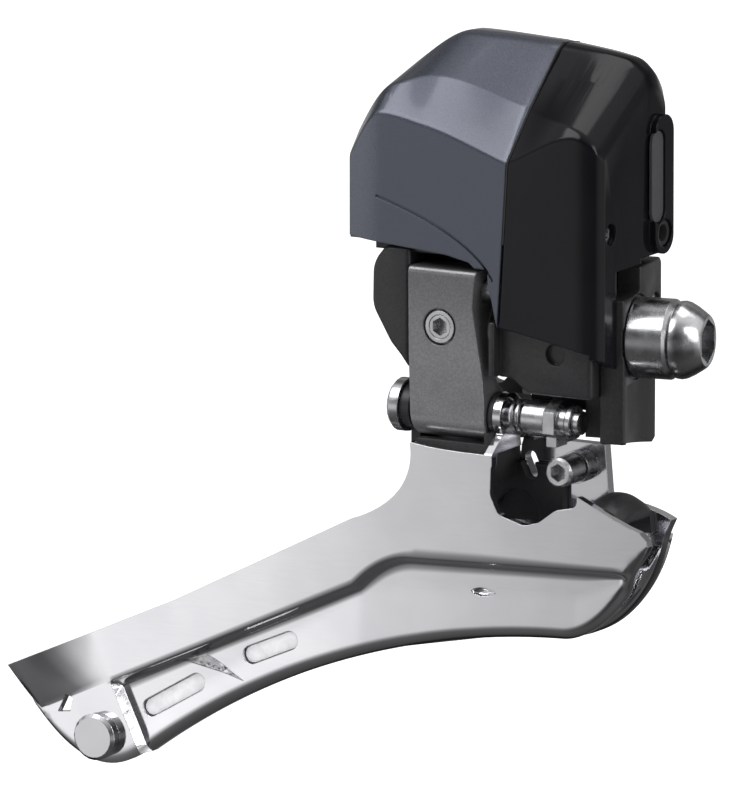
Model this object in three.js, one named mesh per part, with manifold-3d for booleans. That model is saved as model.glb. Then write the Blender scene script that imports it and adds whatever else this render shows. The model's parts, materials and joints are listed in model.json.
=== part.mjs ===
// Front derailleur with a motor unit, for a braze-on hanger tab.
// Millimetres. +X is forward, +Y is towards the frame (inboard), +Z is up along the seat tube.
// The origin is on the clamp bolt's axis, where it crosses the bearing face of the mount bracket.
import * as THREE from "three";
import { mergeVertices } from "three/addons/utils/BufferGeometryUtils.js";
import Module from "manifold-3d";

const wasm = await Module();
wasm.setup();

// ---------------------------------------------------------------- driving dimensions

const CLEARANCE = 0.05; // between pieces that sit on each other
const RUNNING = 0.08; // between a turning pin and its faceted bore

// Parallelogram: the links turn about axes along X. Each axis is a [y, z] pair.
const OUTER_UPPER = [-7, 5.4];
const LINK_LENGTH = 15.6;
const INNER_OFFSET = [10, -2]; // from the outer link's axes to the inner link's axes
const OUTER_LOWER = [OUTER_UPPER[0], OUTER_UPPER[1] - LINK_LENGTH];
const INNER_UPPER = [OUTER_UPPER[0] + INNER_OFFSET[0], OUTER_UPPER[1] + INNER_OFFSET[1]];
const INNER_LOWER = [OUTER_LOWER[0] + INNER_OFFSET[0], OUTER_LOWER[1] + INNER_OFFSET[1]];
const LINK_BACK = -27.1;
const LINK_FRONT = -16.2;
const HUB_RADIUS = 3.4;
const LINK_TOP = 8.2; // the outer link is flat on top, above its upper hub
const LINK_CORNER = 0.8;
const INNER_HUB_RADIUS = 2.4;
const SHAFT_RADIUS = 1.5;
const PIN_RADIUS = 1.5;
const SPRING_RADIUS = 2.05; // to the middle of the wire
const SPRING_WIRE_RADIUS = 0.3;

// Cage: two stamped plates either side of the chain, whose lower edge is concentric with the chainring.
const RING_RADIUS = 107.6;
const RING_CENTRE = [-1.3, -144.9];
const CAGE_OUTER_Y = -12; // outboard face of the outer plate
const PLATE_THICKNESS = 1.2;
const INNER_PLATE_Y = -2.6; // outboard face of the inner plate
const INNER_PLATE_THICKNESS = 1.5;
const LEDGE_DEPTH = 1.6;
const TAIL_LIP = 2.4; // how far the upper edge of the tail leans outboard
const EDGE_ROLL = 1.0; // how far the rolled lower edge turns inboard
const TAIL_PIN = [-71.4, -56.3]; // x, z
const TAIL_FLARE = 3; // the inner plate spreads by this much at the tail

// Motor unit.
const WALL = 1.3;
const SEAM_X = -13.3;
const FLOOR_Z = 11.2;

// Gear train: all axes along X. Angles are measured from +Y towards +Z.
const FINE_MODULE = 0.3;
const COARSE_MODULE = 0.4;
const PINION_TEETH = 10;
const WHEEL_TEETH = 32;
const SECTOR_TEETH = 45;
const SECTOR_ANGLE = 45;
const SECOND_ANGLE = 85;
const MOTOR_ANGLE = 92;
const SECTOR_DISTANCE = (COARSE_MODULE * (SECTOR_TEETH + PINION_TEETH)) / 2;
const STAGE_DISTANCE = (FINE_MODULE * (WHEEL_TEETH + PINION_TEETH)) / 2;
const SECOND_AXIS = polar(OUTER_UPPER, SECTOR_DISTANCE, SECTOR_ANGLE);
const FIRST_AXIS = polar(SECOND_AXIS, STAGE_DISTANCE, SECOND_ANGLE);
const MOTOR_AXIS = polar(FIRST_AXIS, STAGE_DISTANCE, MOTOR_ANGLE);
const MOTOR_RADIUS = 5.1;

// Mount: the bracket and its bolt are turned inboard about Z.
const MOUNT_DEGREES = 10;
const MOUNT_TURN = THREE.MathUtils.degToRad(MOUNT_DEGREES);
const BRACKET_THICKNESS = 3.2;
const BOSS_RADIUS = 3.9; // threaded boss behind the bracket
const BOSS_LENGTH = 3.4;
const WASHER_RADIUS = 5.1;
const WASHER_LENGTH = 5.3;
const BOLT_RADIUS = 2.5;

// ---------------------------------------------------------------- materials

function paint(color, roughness, metalness) {
  return new THREE.MeshStandardMaterial({ color, roughness, metalness });
}
const GLOSS_BLACK = paint(0x15161a, 0.25, 0);
const SATIN_BLACK = paint(0x1c1d20, 0.5, 0);
const COVER_PAINT = paint(0x565a68, 0.35, 0.6);
const LINK_PAINT = paint(0x6d6f74, 0.6, 0.5);
const POLISHED = paint(0xc9c9d2, 0.12, 1);
const STEEL = paint(0xb4b6ba, 0.3, 1);
const BRASS = paint(0xb08d4a, 0.35, 1);
const RUBBER = paint(0x101010, 0.85, 0);
const PAD_PLASTIC = paint(0xe6e6ea, 0.4, 0);
const GREY_PLASTIC = paint(0x77787c, 0.5, 0);
const BOARD_GREEN = paint(0x1f5a38, 0.5, 0);

// ---------------------------------------------------------------- geometry helpers

function polar(centre, distance, degrees) {
  const angle = THREE.MathUtils.degToRad(degrees);
  return [centre[0] + distance * Math.cos(angle), centre[1] + distance * Math.sin(angle)];
}

function mix(a, b, t) {
  return a + (b - a) * t;
}

function smooth(t) {
  const k = Math.min(1, Math.max(0, t));
  return k * k * (3 - 2 * k);
}

// A closed three.js geometry as a solid. Its triangles are turned round if they face inwards.
function solid(geometry) {
  const bare = geometry.index ? geometry.toNonIndexed() : geometry.clone();
  for (const name of ["normal", "uv"]) bare.deleteAttribute(name);
  const merged = mergeVertices(bare, 1e-4);
  const triVerts = new Uint32Array(merged.index.array);
  const vertProperties = new Float32Array(merged.attributes.position.array);
  const made = new wasm.Manifold(new wasm.Mesh({ numProp: 3, vertProperties, triVerts }));
  if (made.volume() > 0) return made;
  for (let i = 0; i < triVerts.length; i += 3) {
    [triVerts[i + 1], triVerts[i + 2]] = [triVerts[i + 2], triVerts[i + 1]];
  }
  return new wasm.Manifold(new wasm.Mesh({ numProp: 3, vertProperties, triVerts }));
}

function geometryOf(made) {
  const mesh = made.getMesh();
  const geometry = new THREE.BufferGeometry();
  geometry.setAttribute("position", new THREE.BufferAttribute(mesh.vertProperties, 3));
  geometry.setIndex(new THREE.BufferAttribute(mesh.triVerts, 1));
  return geometry;
}

function join(...parts) {
  return parts.reduce((sum, part) => sum.add(part));
}

function cut(body, ...tools) {
  return tools.reduce((rest, tool) => rest.subtract(tool), body);
}

function extruded(outline, depth) {
  const listed = Array.isArray(outline);
  const shape = listed ? new THREE.Shape(outline.map(([u, v]) => new THREE.Vector2(u, v))) : outline;
  return new THREE.ExtrudeGeometry(shape, { depth, bevelEnabled: false, curveSegments: 8, steps: 1 });
}

// Outline in [y, z], along X.
function prismX(outline, x0, x1) {
  const geometry = extruded(outline, x1 - x0);
  const basis = new THREE.Matrix4().makeBasis(
    new THREE.Vector3(0, 1, 0),
    new THREE.Vector3(0, 0, 1),
    new THREE.Vector3(1, 0, 0),
  );
  return solid(geometry.applyMatrix4(basis).translate(x0, 0, 0));
}

// Outline in [x, z], along Y.
function prismY(outline, y0, y1) {
  const geometry = extruded(outline, y1 - y0);
  const basis = new THREE.Matrix4().makeBasis(
    new THREE.Vector3(1, 0, 0),
    new THREE.Vector3(0, 0, 1),
    new THREE.Vector3(0, -1, 0),
  );
  return solid(geometry.applyMatrix4(basis).translate(0, y1, 0));
}

// Outline in [x, y], along Z.
function prismZ(outline, z0, z1) {
  return solid(extruded(outline, z1 - z0).translate(0, 0, z0));
}

function block(x0, x1, y0, y1, z0, z1) {
  const geometry = new THREE.BoxGeometry(x1 - x0, y1 - y0, z1 - z0);
  return solid(geometry.translate((x0 + x1) / 2, (y0 + y1) / 2, (z0 + z1) / 2));
}

const AXES = { x: [0, 0, -Math.PI / 2], y: [0, 0, 0], z: [Math.PI / 2, 0, 0] };

// A profile of [radius, distance along the axis] pairs, turned about an axis through a point.
function turned(axis, profile, [x, y, z], segments = 24) {
  const points = profile.map(([radius, along]) => new THREE.Vector2(radius, along));
  const geometry = new THREE.LatheGeometry(points, segments);
  const turn = new THREE.Euler(...AXES[axis]);
  return solid(geometry.applyMatrix4(new THREE.Matrix4().makeRotationFromEuler(turn)).translate(x, y, z));
}

function rodX(radius, x0, x1, [y, z], segments = 24) {
  return turned("x", [[0, x0], [radius, x0], [radius, x1], [0, x1]], [0, y, z], segments);
}

function rodY(radius, y0, y1, [x, z], segments = 24) {
  return turned("y", [[0, y0], [radius, y0], [radius, y1], [0, y1]], [x, 0, z], segments);
}

function tubeX(outer, inner, x0, x1, at, segments = 24) {
  return cut(rodX(outer, x0, x1, at, segments), rodX(inner, x0 - 1, x1 + 1, at, segments));
}

function hexagon(acrossFlats, [u, v]) {
  const corners = [];
  for (let i = 0; i < 6; i++) {
    corners.push(polar([u, v], acrossFlats / Math.sqrt(3), 60 * i + 30));
  }
  return corners;
}

// The outline of two round ends joined by straight sides.
function dogbone(a, radiusA, b, radiusB, steps = 8) {
  const along = Math.atan2(b[1] - a[1], b[0] - a[0]);
  const distance = Math.hypot(b[0] - a[0], b[1] - a[1]);
  const lean = Math.acos((radiusA - radiusB) / distance);
  const points = [];
  for (let i = 0; i <= steps; i++) {
    const angle = along + lean + ((2 * Math.PI - 2 * lean) * i) / steps;
    points.push([a[0] + radiusA * Math.cos(angle), a[1] + radiusA * Math.sin(angle)]);
  }
  for (let i = 0; i <= steps; i++) {
    const angle = along - lean + (2 * lean * i) / steps;
    points.push([b[0] + radiusB * Math.cos(angle), b[1] + radiusB * Math.sin(angle)]);
  }
  return points;
}

// A closed skin over a grid of points: rows[i][j], closed round j, with flat caps at both ends.
function skin(rows) {
  const round = rows[0].length;
  const position = rows.flat(2);
  const index = [];
  for (let i = 0; i + 1 < rows.length; i++) {
    for (let j = 0; j < round; j++) {
      const a = i * round + j;
      const b = i * round + ((j + 1) % round);
      index.push(a, b, a + round, b, b + round, a + round);
    }
  }
  const last = (rows.length - 1) * round;
  for (let j = 1; j + 1 < round; j++) {
    index.push(0, j + 1, j);
    index.push(last, last + j, last + j + 1);
  }
  const geometry = new THREE.BufferGeometry();
  geometry.setAttribute("position", new THREE.Float32BufferAttribute(position, 3));
  geometry.setIndex(index);
  return solid(geometry);
}

// A sheet of metal: front[i][j] is a grid of points on its outboard face, thickened inboard.
function sheet(front, thickness) {
  const rows = front.length;
  const columns = front[0].length;
  const back = front.map((row) => row.map(([x, y, z]) => [x, y + thickness, z]));
  const position = [front, back].flat(3);
  const index = [];
  const half = rows * columns;
  const at = (i, j) => i * columns + j;
  const quad = (a, b, c, d) => index.push(a, b, c, a, c, d);
  for (let i = 0; i + 1 < rows; i++) {
    for (let j = 0; j + 1 < columns; j++) {
      quad(at(i, j), at(i + 1, j), at(i + 1, j + 1), at(i, j + 1));
      quad(half + at(i, j), half + at(i, j + 1), half + at(i + 1, j + 1), half + at(i + 1, j));
    }
    quad(at(i + 1, 0), at(i, 0), half + at(i, 0), half + at(i + 1, 0));
    const top = columns - 1;
    quad(at(i, top), at(i + 1, top), half + at(i + 1, top), half + at(i, top));
  }
  for (let j = 0; j + 1 < columns; j++) {
    quad(at(0, j), at(0, j + 1), half + at(0, j + 1), half + at(0, j));
    const end = rows - 1;
    quad(at(end, j + 1), at(end, j), half + at(end, j), half + at(end, j + 1));
  }
  const geometry = new THREE.BufferGeometry();
  geometry.setAttribute("position", new THREE.Float32BufferAttribute(position, 3));
  geometry.setIndex(index);
  return solid(geometry);
}

const object = new THREE.Group();
const mountGroup = new THREE.Group();
mountGroup.rotation.z = MOUNT_TURN;
object.add(mountGroup);

function node(name, made, material, group = object) {
  const mesh = new THREE.Mesh(geometryOf(made), material);
  mesh.name = name;
  group.add(mesh);
}

// ---------------------------------------------------------------- cage plates

function ringPoint(x, drop = 0) {
  const radius = RING_RADIUS - drop;
  return [x, RING_CENTRE[1] + Math.sqrt(radius ** 2 - (x - RING_CENTRE[0]) ** 2)];
}

const TAIL_SLOPE = 0.507;
const TAIL_LIFT = 0.06; // extra slope of the last part of the upper edge
const NECK_FOOT = [-34.6, -24.6]; // where the tail's straight upper edge meets the neck's fillet
const NECK_BEND = [-25, -21.3]; // corner that the fillet rounds off
const NECK_REAR = [-25.9, -13.9];
const NECK_FRONT = [-14.2, -14.5];
const NOSE_FOOT = [5.9, -27.6];

function tailTop(x) {
  return [x, NECK_FOOT[1] + TAIL_SLOPE * (x - NECK_FOOT[0]) + TAIL_LIFT * Math.max(0, -60 - x)];
}

function bezier(a, b, c, t) {
  return [0, 1].map((k) => (1 - t) ** 2 * a[k] + 2 * t * (1 - t) * b[k] + t * t * c[k]);
}

// Ribs run across a plate, from its lower edge to its upper edge: [lower, upper, how much of the ledge].
function span(ribs, steps, lower, upper, ledge) {
  for (let i = 0; i < steps; i++) {
    ribs.push([lower(i / steps), upper(i / steps), ledge(i / steps)]);
  }
}

function outerRibs() {
  const ribs = [];
  const always = () => 1;
  const never = () => 0;
  const fading = (t) => 1 - smooth((t - 0.75) / 0.25);
  const ring = (from, to) => (t) => ringPoint(mix(from, to, t));
  const tail = (from, to) => (t) => tailTop(mix(from, to, t));
  const noseTop = straight([-1.6, -18.7], [3.4, -21]);
  span(ribs, 5, bezierList([-80.6, -53.6], [-72.5, -63], [-65.4, -58.1]), tail(-83.4, -72.6), never);
  ribs.push([[-65.4, -58.1], tailTop(-72.6), 0]);
  span(ribs, 8, ring(-64.8, -28.5), tail(-72.1, -34.6), always);
  span(ribs, 6, ring(-28.5, -24.5), bezierList(NECK_FOOT, NECK_BEND, NECK_REAR), always);
  span(ribs, 3, ring(-24.5, -17.5), bezierList(NECK_REAR, [-22, -14.6], NECK_FRONT), always);
  span(ribs, 3, ring(-17.5, -5), straight(NECK_FRONT, [-1.6, -18.7]), always);
  span(ribs, 6, bezierList(ringPoint(-5), [3.5, -35.1], NOSE_FOOT), noseTop, fading);
  ribs.push([NOSE_FOOT, [3.4, -21], 0]);
  ribs.push([[6.9, -26.2], [5.4, -21.8], 0]);
  ribs.push([[7.8, -24.9], [7, -22.3], 0]);
  ribs.push([[8.2, -24], [8, -23.2], 0]);
  return ribs;
}

function bezierList(a, b, c) {
  return (t) => bezier(a, b, c, t);
}

function straight(a, b) {
  return (t) => [mix(a[0], b[0], t), mix(a[1], b[1], t)];
}

// Height of the ledge that runs along the outer plate.
function ledgeHeight(x) {
  if (x < -34) return -33.4 + 0.456 * (x + 34);
  if (x < -26) return mix(-33.4, -29.2, 1 - (1 - (x + 34) / 8) ** 2);
  return mix(-29.2, -28, (x + 26) / 32);
}

function ledgeShare(lower, upper) {
  let low = 0;
  let high = 1;
  for (let i = 0; i < 20; i++) {
    const middle = (low + high) / 2;
    const x = mix(lower[0], upper[0], middle);
    if (mix(lower[1], upper[1], middle) < ledgeHeight(x)) low = middle;
    else high = middle;
  }
  return low;
}

const LEDGE_HALF = 0.9;

function outerPlateFace() {
  return outerRibs().map(([lower, upper, ledge]) => {
    const length = Math.hypot(upper[0] - lower[0], upper[1] - lower[1]);
    const line = Math.min(0.9, Math.max(0.3, ledgeShare(lower, upper)));
    const half = Math.min(LEDGE_HALF / length, 0.09);
    const depth = LEDGE_DEPTH * ledge;
    const flare = TAIL_LIP * smooth((-lower[0] - 64) / 15);
    const roll = EDGE_ROLL * mix(0.35, 1, ledge);
    const stops = [
      [0, depth + roll],
      [Math.min(0.5 / length, 0.07), depth + 0.35 * roll],
      [Math.min(1.5 / length, 0.2), depth],
      [line - half, depth],
      [line + half, 0],
      [(line + 1) / 2, -0.55 * flare],
      [1, -flare],
    ];
    return stops.map(([share, inset]) => [
      mix(lower[0], upper[0], share),
      CAGE_OUTER_Y + inset,
      mix(lower[1], upper[1], share),
    ]);
  });
}

// A slot with round ends, from one end's centre to the other's.
function slot(from, to, radius) {
  return dogbone(from, radius, to, radius, 6);
}

const REAR_WINDOW = [[-64.6, -52.2], [-57.9, -48.3]];
const FRONT_WINDOW = [[-49.9, -43.9], [-44.3, -41.5]];
const WINDOW_RADIUS = 1.2;
const NOTCH = [
  [-14.15, -13],
  [-14.4, -19.6],
  [-13.3, -21.9],
  [-9.6, -23],
  [-7.4, -22.4],
  [-5, -20.6],
  [-1.9, -19.9],
  [-1.9, -13],
];
const RIVET_RADIUS = 1;
const INNER_RIVETS = [[-24.4, -17.2], [-17, -17.2]];

// Pressed groove between the two windows: the outline [x, z] at its mouth and at its floor.
const GROOVE_MOUTH = [[-61, -45.7], [-55.6, -43.8], [-49.4, -47.7]];
const GROOVE_FLOOR = [[-58.4, -45.5], [-57.2, -45.1], [-53, -46.9]];

// Ear folded inboard from the front of the neck, which carries the outer lower pin.
const EAR_X = [-15.25, -14.15];
const EAR_RADIUS = 2.9;

function foldedEar() {
  const [y, z] = OUTER_LOWER;
  const outline = [[CAGE_OUTER_Y, -16], [CAGE_OUTER_Y, NECK_FRONT[1]]];
  for (let degrees = 225; degrees >= -45; degrees -= 15) {
    outline.push(polar([y, z], EAR_RADIUS, degrees));
  }
  const back = CAGE_OUTER_Y + PLATE_THICKNESS;
  outline.push([y + 2.6, -14.4], [back + 0.3, -14.5], [back, -16]);
  return prismX(outline, ...EAR_X);
}

function outerPlate() {
  const through = (outline) => prismY(outline, CAGE_OUTER_Y - 3, CAGE_OUTER_Y + 6);
  const field = CAGE_OUTER_Y + LEDGE_DEPTH;
  const level = (outline, y) => outline.map(([x, z]) => [x, y, z]);
  return cut(
    join(
      cut(
        sheet(outerPlateFace(), PLATE_THICKNESS),
        skin([level(GROOVE_MOUTH, field - 0.7), level(GROOVE_FLOOR, field + 0.7)]),
        through(NOTCH),
      ),
      foldedEar(),
    ),
    rodX(PIN_RADIUS + CLEARANCE, -40, 0, OUTER_LOWER, 20),
    through(slot(...REAR_WINDOW, WINDOW_RADIUS)),
    through(slot(...FRONT_WINDOW, WINDOW_RADIUS)),
    through([[-77.4, -53.8], [-76.2, -51.4], [-75.2, -51.8], [-75.6, -53.6]]),
    rodY(1.3, CAGE_OUTER_Y - 3, CAGE_OUTER_Y + 6, TAIL_PIN, 16),
  );
}

// How much lower the inner plate reaches than the outer one: less towards the tail.
function innerDrop(x) {
  return 1 - 3.6 * smooth((-22 - x) / 44);
}

function innerRibs() {
  const ribs = [];
  const foot = (x) => ringPoint(x, innerDrop(x));
  const feet = (from, to) => (t) => foot(mix(from, to, t));
  const top = (x) => [x, tailTop(x)[1] - 1.4];
  const one = () => 1;
  const fading = (t) => 1 - smooth((t - 0.4) / 0.5);
  span(ribs, 4, bezierList([-76, -56.5], [-72.5, -62], foot(-66)), (t) => top(mix(-77.5, -70, t)), () => 0);
  span(ribs, 9, feet(-66, -29), (t) => top(mix(-70, -33, t)), one);
  span(ribs, 3, feet(-29, -25), bezierList(top(-33), [-29, -21.5], [-28, -15.9]), one);
  span(ribs, 3, feet(-25, -17.1), straight([-28, -15.9], [-15.3, -15.9]), one);
  ribs.push([foot(-17), [-15.2, -15.9], 1], [foot(-16.6), [-15.1, -13.6], 1]);
  span(ribs, 3, feet(-16, -8), straight([-14.8, -13.6], [-3.3, -13.6]), one);
  ribs.push([foot(-7.8), [-3.2, -13.6], 1]);
  const noseTop = bezierList([-2.6, -20.4], [3, -20.6], [6.4, -22.3]);
  span(ribs, 7, bezierList(foot(-7), [2.6, -36.4], [5.4, -24.4]), noseTop, fading);
  ribs.push([[5.4, -24.4], [6.4, -22.3], 0]);
  return ribs;
}

function innerPlateFace() {
  return innerRibs().map(([lower, upper, ledge]) => {
    const length = Math.hypot(upper[0] - lower[0], upper[1] - lower[1]);
    const line = Math.min(0.75, Math.max(0.3, ledgeShare(lower, upper)));
    const half = Math.min(LEDGE_HALF / length, 0.09);
    const depth = -0.9 * ledge;
    const spread = TAIL_FLARE * smooth((-lower[0] - 44) / 24);
    const stops = [
      [0, depth + 0.8],
      [0.06, depth],
      [line - half, depth],
      [line + half, 0],
      [1, 0],
    ];
    return stops.map(([share, inset]) => [
      mix(lower[0], upper[0], share),
      INNER_PLATE_Y + inset + spread,
      mix(lower[1], upper[1], share),
    ]);
  });
}

const INNER_SLOT = [[-13.8, -16.2], [-13, -17.9]];
const INNER_SLOT_RADIUS = 0.8;
const LIMIT_SCREW = [-6.2, -16.4];

function innerPlate() {
  const drilled = (centre, radius) => rodY(radius, INNER_PLATE_Y - 3, INNER_PLATE_Y + 8, centre, 16);
  return cut(
    sheet(innerPlateFace(), INNER_PLATE_THICKNESS),
    prismY(slot(...INNER_SLOT, INNER_SLOT_RADIUS), INNER_PLATE_Y - 3, INNER_PLATE_Y + 4),
    drilled(TAIL_PIN, 1.3),
    drilled(LIMIT_SCREW, 1.25),
    ...INNER_RIVETS.map((centre) => drilled(centre, RIVET_RADIUS + CLEARANCE)),
  );
}

// Block between the necks of the two plates, with an ear at each end for the lower pins.
function cageBlock() {
  const outboard = CAGE_OUTER_Y + PLATE_THICKNESS + CLEARANCE;
  const inboard = INNER_PLATE_Y - CLEARANCE;
  const low = -18.6;
  const rearEar = [LINK_BACK - 1.6, LINK_BACK - 0.25];
  const frontEar = [LINK_FRONT + 0.25, LINK_FRONT + 0.9];
  const earOutline = dogbone(OUTER_LOWER, EAR_RADIUS, INNER_LOWER, 2.6, 10);
  const ear = ([x0, x1], from) => join(prismX(earOutline, x0, x1), block(x0, x1, from, inboard, low, -12));
  const web = block(-25.6, frontEar[1], outboard, outboard + 1.35, low, -13.5);
  const floorPlan = [
    [-25.6, outboard],
    [frontEar[1], outboard],
    [frontEar[1], inboard],
    [rearEar[0], inboard],
    [rearEar[0], -6],
  ];
  const side = block(rearEar[0], frontEar[1], inboard - 1.35, inboard, low, -14);
  // Apron in front of the inner plate, round the screw, with an arched pocket.
  const apron = cut(
    block(-19.4, -8.35, inboard - 1.25, inboard, -24.2, -16.6),
    rodY(3.3, -8, 0, LIMIT_SCREW, 24),
    prismY(archOutline(-15, -25, 3.1, -20.2), inboard - 2, inboard - 0.6),
  );
  return cut(
    join(ear(rearEar, -6.8), ear(frontEar, outboard), web, prismZ(floorPlan, low, -17), side, apron),
    rodX(PIN_RADIUS + CLEARANCE, -40, 0, OUTER_LOWER, 20),
    rodX(PIN_RADIUS + CLEARANCE, -40, 0, INNER_LOWER, 20),
    prismY(slot(...INNER_SLOT, INNER_SLOT_RADIUS + 0.1), inboard - 2, 0),
    ...INNER_RIVETS.map((centre) => rodY(RIVET_RADIUS + CLEARANCE, INNER_PLATE_Y - 1, 0, centre, 16)),
  );
}

// Outline [x, z] of an arch: straight legs from the foot up to a round head.
function archOutline(x, foot, half, top) {
  const points = [[x + half, foot]];
  for (let degrees = 0; degrees <= 180; degrees += 20) {
    points.push(polar([x, top - half], half, degrees));
  }
  points.push([x - half, foot]);
  return points;
}

// Bridge that joins the plates above the chain at the front: a top, arched across, with two cheeks.
function bridge(y0, y1) {
  const crown = [[-1.2, -19.2], [0, -18.65], [1.4, -18.7], [2.8, -19.4], [3.9, -20.5], [4.1, -24]];
  const foot = [-1.2, -24];
  const ceiling = crown.slice(1, 5).map(([x, z]) => [x, z - 1.3]);
  const lowered = [[-3, -20.8], ...ceiling, [6, -22.6], [6, -30], [-3, -30]];
  const sections = [0, 0.08, 0.2, 0.35, 0.5, 0.65, 0.8, 0.92, 1].map((t) => {
    const drop = 1.2 * (2 * t - 1) ** 2;
    const y = mix(y0, y1, t);
    const top = crown.slice(0, 5).map(([x, z]) => [x, y, z - drop]);
    const feet = [crown[5], foot].map(([x, z]) => [x, y, z]);
    return [...top, ...feet];
  });
  return cut(skin(sections), prismY(lowered, y0 + 1.15, y1 - 1.05));
}

function cage() {
  const outerBack = CAGE_OUTER_Y + PLATE_THICKNESS;
  const innerBack = INNER_PLATE_Y + INNER_PLATE_THICKNESS;
  node("cage_outer_plate", outerPlate(), POLISHED);
  node("cage_inner_plate", innerPlate(), POLISHED);

  node("cage_block", cageBlock(), SATIN_BLACK);
  INNER_RIVETS.forEach((centre, i) => {
    const made = turned(
      "y",
      [
        [0, INNER_PLATE_Y - 0.9],
        [RIVET_RADIUS, INNER_PLATE_Y - 0.9],
        [RIVET_RADIUS, innerBack + CLEARANCE],
        [1.5, innerBack + CLEARANCE],
        [1.05, innerBack + 0.5],
        [0, innerBack + 0.55],
      ],
      [centre[0], 0, centre[1]],
      16,
    );
    node("inner_rivet_" + (i + 1), made, STEEL);
  });

  node("cage_bridge", bridge(outerBack + CLEARANCE, INNER_PLATE_Y - CLEARANCE), SATIN_BLACK);

  // Tail: a headed screw through both plates and a spacer between them.
  const tailInner = INNER_PLATE_Y + TAIL_FLARE;
  const tailBack = tailInner + INNER_PLATE_THICKNESS;
  node(
    "tail_screw",
    turned(
      "y",
      [
        [0, CAGE_OUTER_Y - 1.5],
        [2.6, CAGE_OUTER_Y - 1.5],
        [3, CAGE_OUTER_Y - 1.1],
        [3, CAGE_OUTER_Y - CLEARANCE],
        [1.25, CAGE_OUTER_Y - CLEARANCE],
        [1.25, tailBack + 0.4],
        [0, tailBack + 0.4],
      ],
      [TAIL_PIN[0], 0, TAIL_PIN[1]],
    ),
    POLISHED,
  );
  const spacer = rodY(1.8, outerBack + 0.1, tailInner - 0.2, TAIL_PIN, 20);
  node("tail_spacer", cut(spacer, rodY(1.33, -20, 20, TAIL_PIN, 24)), STEEL);

  // Light inserts in the windows of the outer plate, with a foot behind the plate.
  const insert = ([from, to]) => {
    const face = CAGE_OUTER_Y + LEDGE_DEPTH;
    const back = face + PLATE_THICKNESS;
    const foot = prismY(slot(from, to, WINDOW_RADIUS + 0.6), back + 0.3, back + 1);
    return join(prismY(slot(from, to, WINDOW_RADIUS - 0.12), face + 0.5, back + 0.5), foot);
  };
  node("skid_pad_rear", insert(REAR_WINDOW), PAD_PLASTIC);
  node("skid_pad_front", insert(FRONT_WINDOW), PAD_PLASTIC);

  // Screw on the inner plate, seen through the notch of the outer plate.
  const screw = turned(
    "y",
    [
      [0, -9.2],
      [1.6, -9.2],
      [1.9, -8.9],
      [1.9, -5.4],
      [1.2, -5.2],
      [1.2, innerBack + 0.6],
      [0, innerBack + 0.6],
    ],
    [LIMIT_SCREW[0], 0, LIMIT_SCREW[1]],
    24,
  );
  const socket = prismY(hexagon(2, LIMIT_SCREW), -10, -7.4);
  node("limit_screw", cut(screw, socket), STEEL);
  const sleeve = rodY(2.1, -5.1, INNER_PLATE_Y - CLEARANCE, LIMIT_SCREW, 24);
  const stop = cut(sleeve, rodY(1.25, -6, 0, LIMIT_SCREW, 24));
  node("limit_screw_stop", stop, STEEL);
}

function lowerPivots() {
  const back = LINK_BACK - 1.6;
  const front = LINK_FRONT + 0.9;
  const [y, z] = OUTER_LOWER;
  node(
    "lower_pivot_pin_outer",
    turned(
      "x",
      [
        [0, back - 1.8],
        [2.9, back - 1.8],
        [3.4, back - 1.3],
        [3.4, back - CLEARANCE],
        [PIN_RADIUS, back - CLEARANCE],
        [PIN_RADIUS, -5.5],
        [1, -5.5],
        [1, -4.7],
        [PIN_RADIUS, -4.7],
        [PIN_RADIUS, -3.9],
        [0, -3.9],
      ],
      [0, y, z],
      20,
    ),
    STEEL,
  );
  node("pivot_bush", tubeX(2.35, PIN_RADIUS + CLEARANCE, -11.5, -8.4, OUTER_LOWER, 20), STEEL);
  const lever = cut(
    join(
      prismX(hexagon(4.8, OUTER_LOWER), -8.3, -6.7),
      rodX(1.9, -6.8, -5.6, OUTER_LOWER, 20),
      block(-8.3, -7, y + 0.6, y + 4, z - 3, z - 1.8),
      block(-8.3, -6.9, y - 1.4, y + 1.4, z - 3.2, z - 1),
    ),
    rodX(PIN_RADIUS + CLEARANCE, -10, 0, OUTER_LOWER, 20),
  );
  node("spring_lever", lever, STEEL);
  node("lower_pivot_clip_outer", tubeX(2.1, 1 + CLEARANCE, -5.4, -4.8, OUTER_LOWER, 20), STEEL);

  node(
    "lower_pivot_pin_inner",
    turned(
      "x",
      [
        [0, back - 1],
        [2.2, back - 1],
        [2.2, back - CLEARANCE],
        [PIN_RADIUS, back - CLEARANCE],
        [PIN_RADIUS, front + 0.4],
        [1, front + 0.4],
        [1, front + 1],
        [PIN_RADIUS, front + 1],
        [PIN_RADIUS, front + 1.5],
        [0, front + 1.5],
      ],
      [0, ...INNER_LOWER],
      20,
    ),
    STEEL,
  );
  node(
    "lower_pivot_clip_inner",
    tubeX(2.1, 1 + CLEARANCE, front + 0.45, front + 0.95, INNER_LOWER, 20),
    STEEL,
  );

  // Take-up spring: its coil lies round the pin, and each leg leaves the coil straight on.
  const turns = 1.75;
  const coil = [];
  for (let i = 0; i <= 28; i++) {
    const angle = (2 * Math.PI * turns * i) / 28;
    const x = mix(-13.5, -12, i / 28);
    coil.push(new THREE.Vector3(x, y + SPRING_RADIUS * Math.cos(angle), z + SPRING_RADIUS * Math.sin(angle)));
  }
  const first = coil[0];
  const last = coil[coil.length - 1];
  const start = new THREE.Vector3(first.x, first.y, first.z - 2.6);
  const end = new THREE.Vector3(last.x, last.y + 2.6, last.z);
  const path = new THREE.CatmullRomCurve3([start, ...coil, end]);
  const wire = new THREE.Shape();
  wire.absarc(0, 0, SPRING_WIRE_RADIUS, 0, 2 * Math.PI);
  const geometry = new THREE.ExtrudeGeometry(wire, { steps: 48, curveSegments: 4, extrudePath: path });
  node("take_up_spring", solid(geometry), STEEL);
}

// ---------------------------------------------------------------- links

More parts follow.
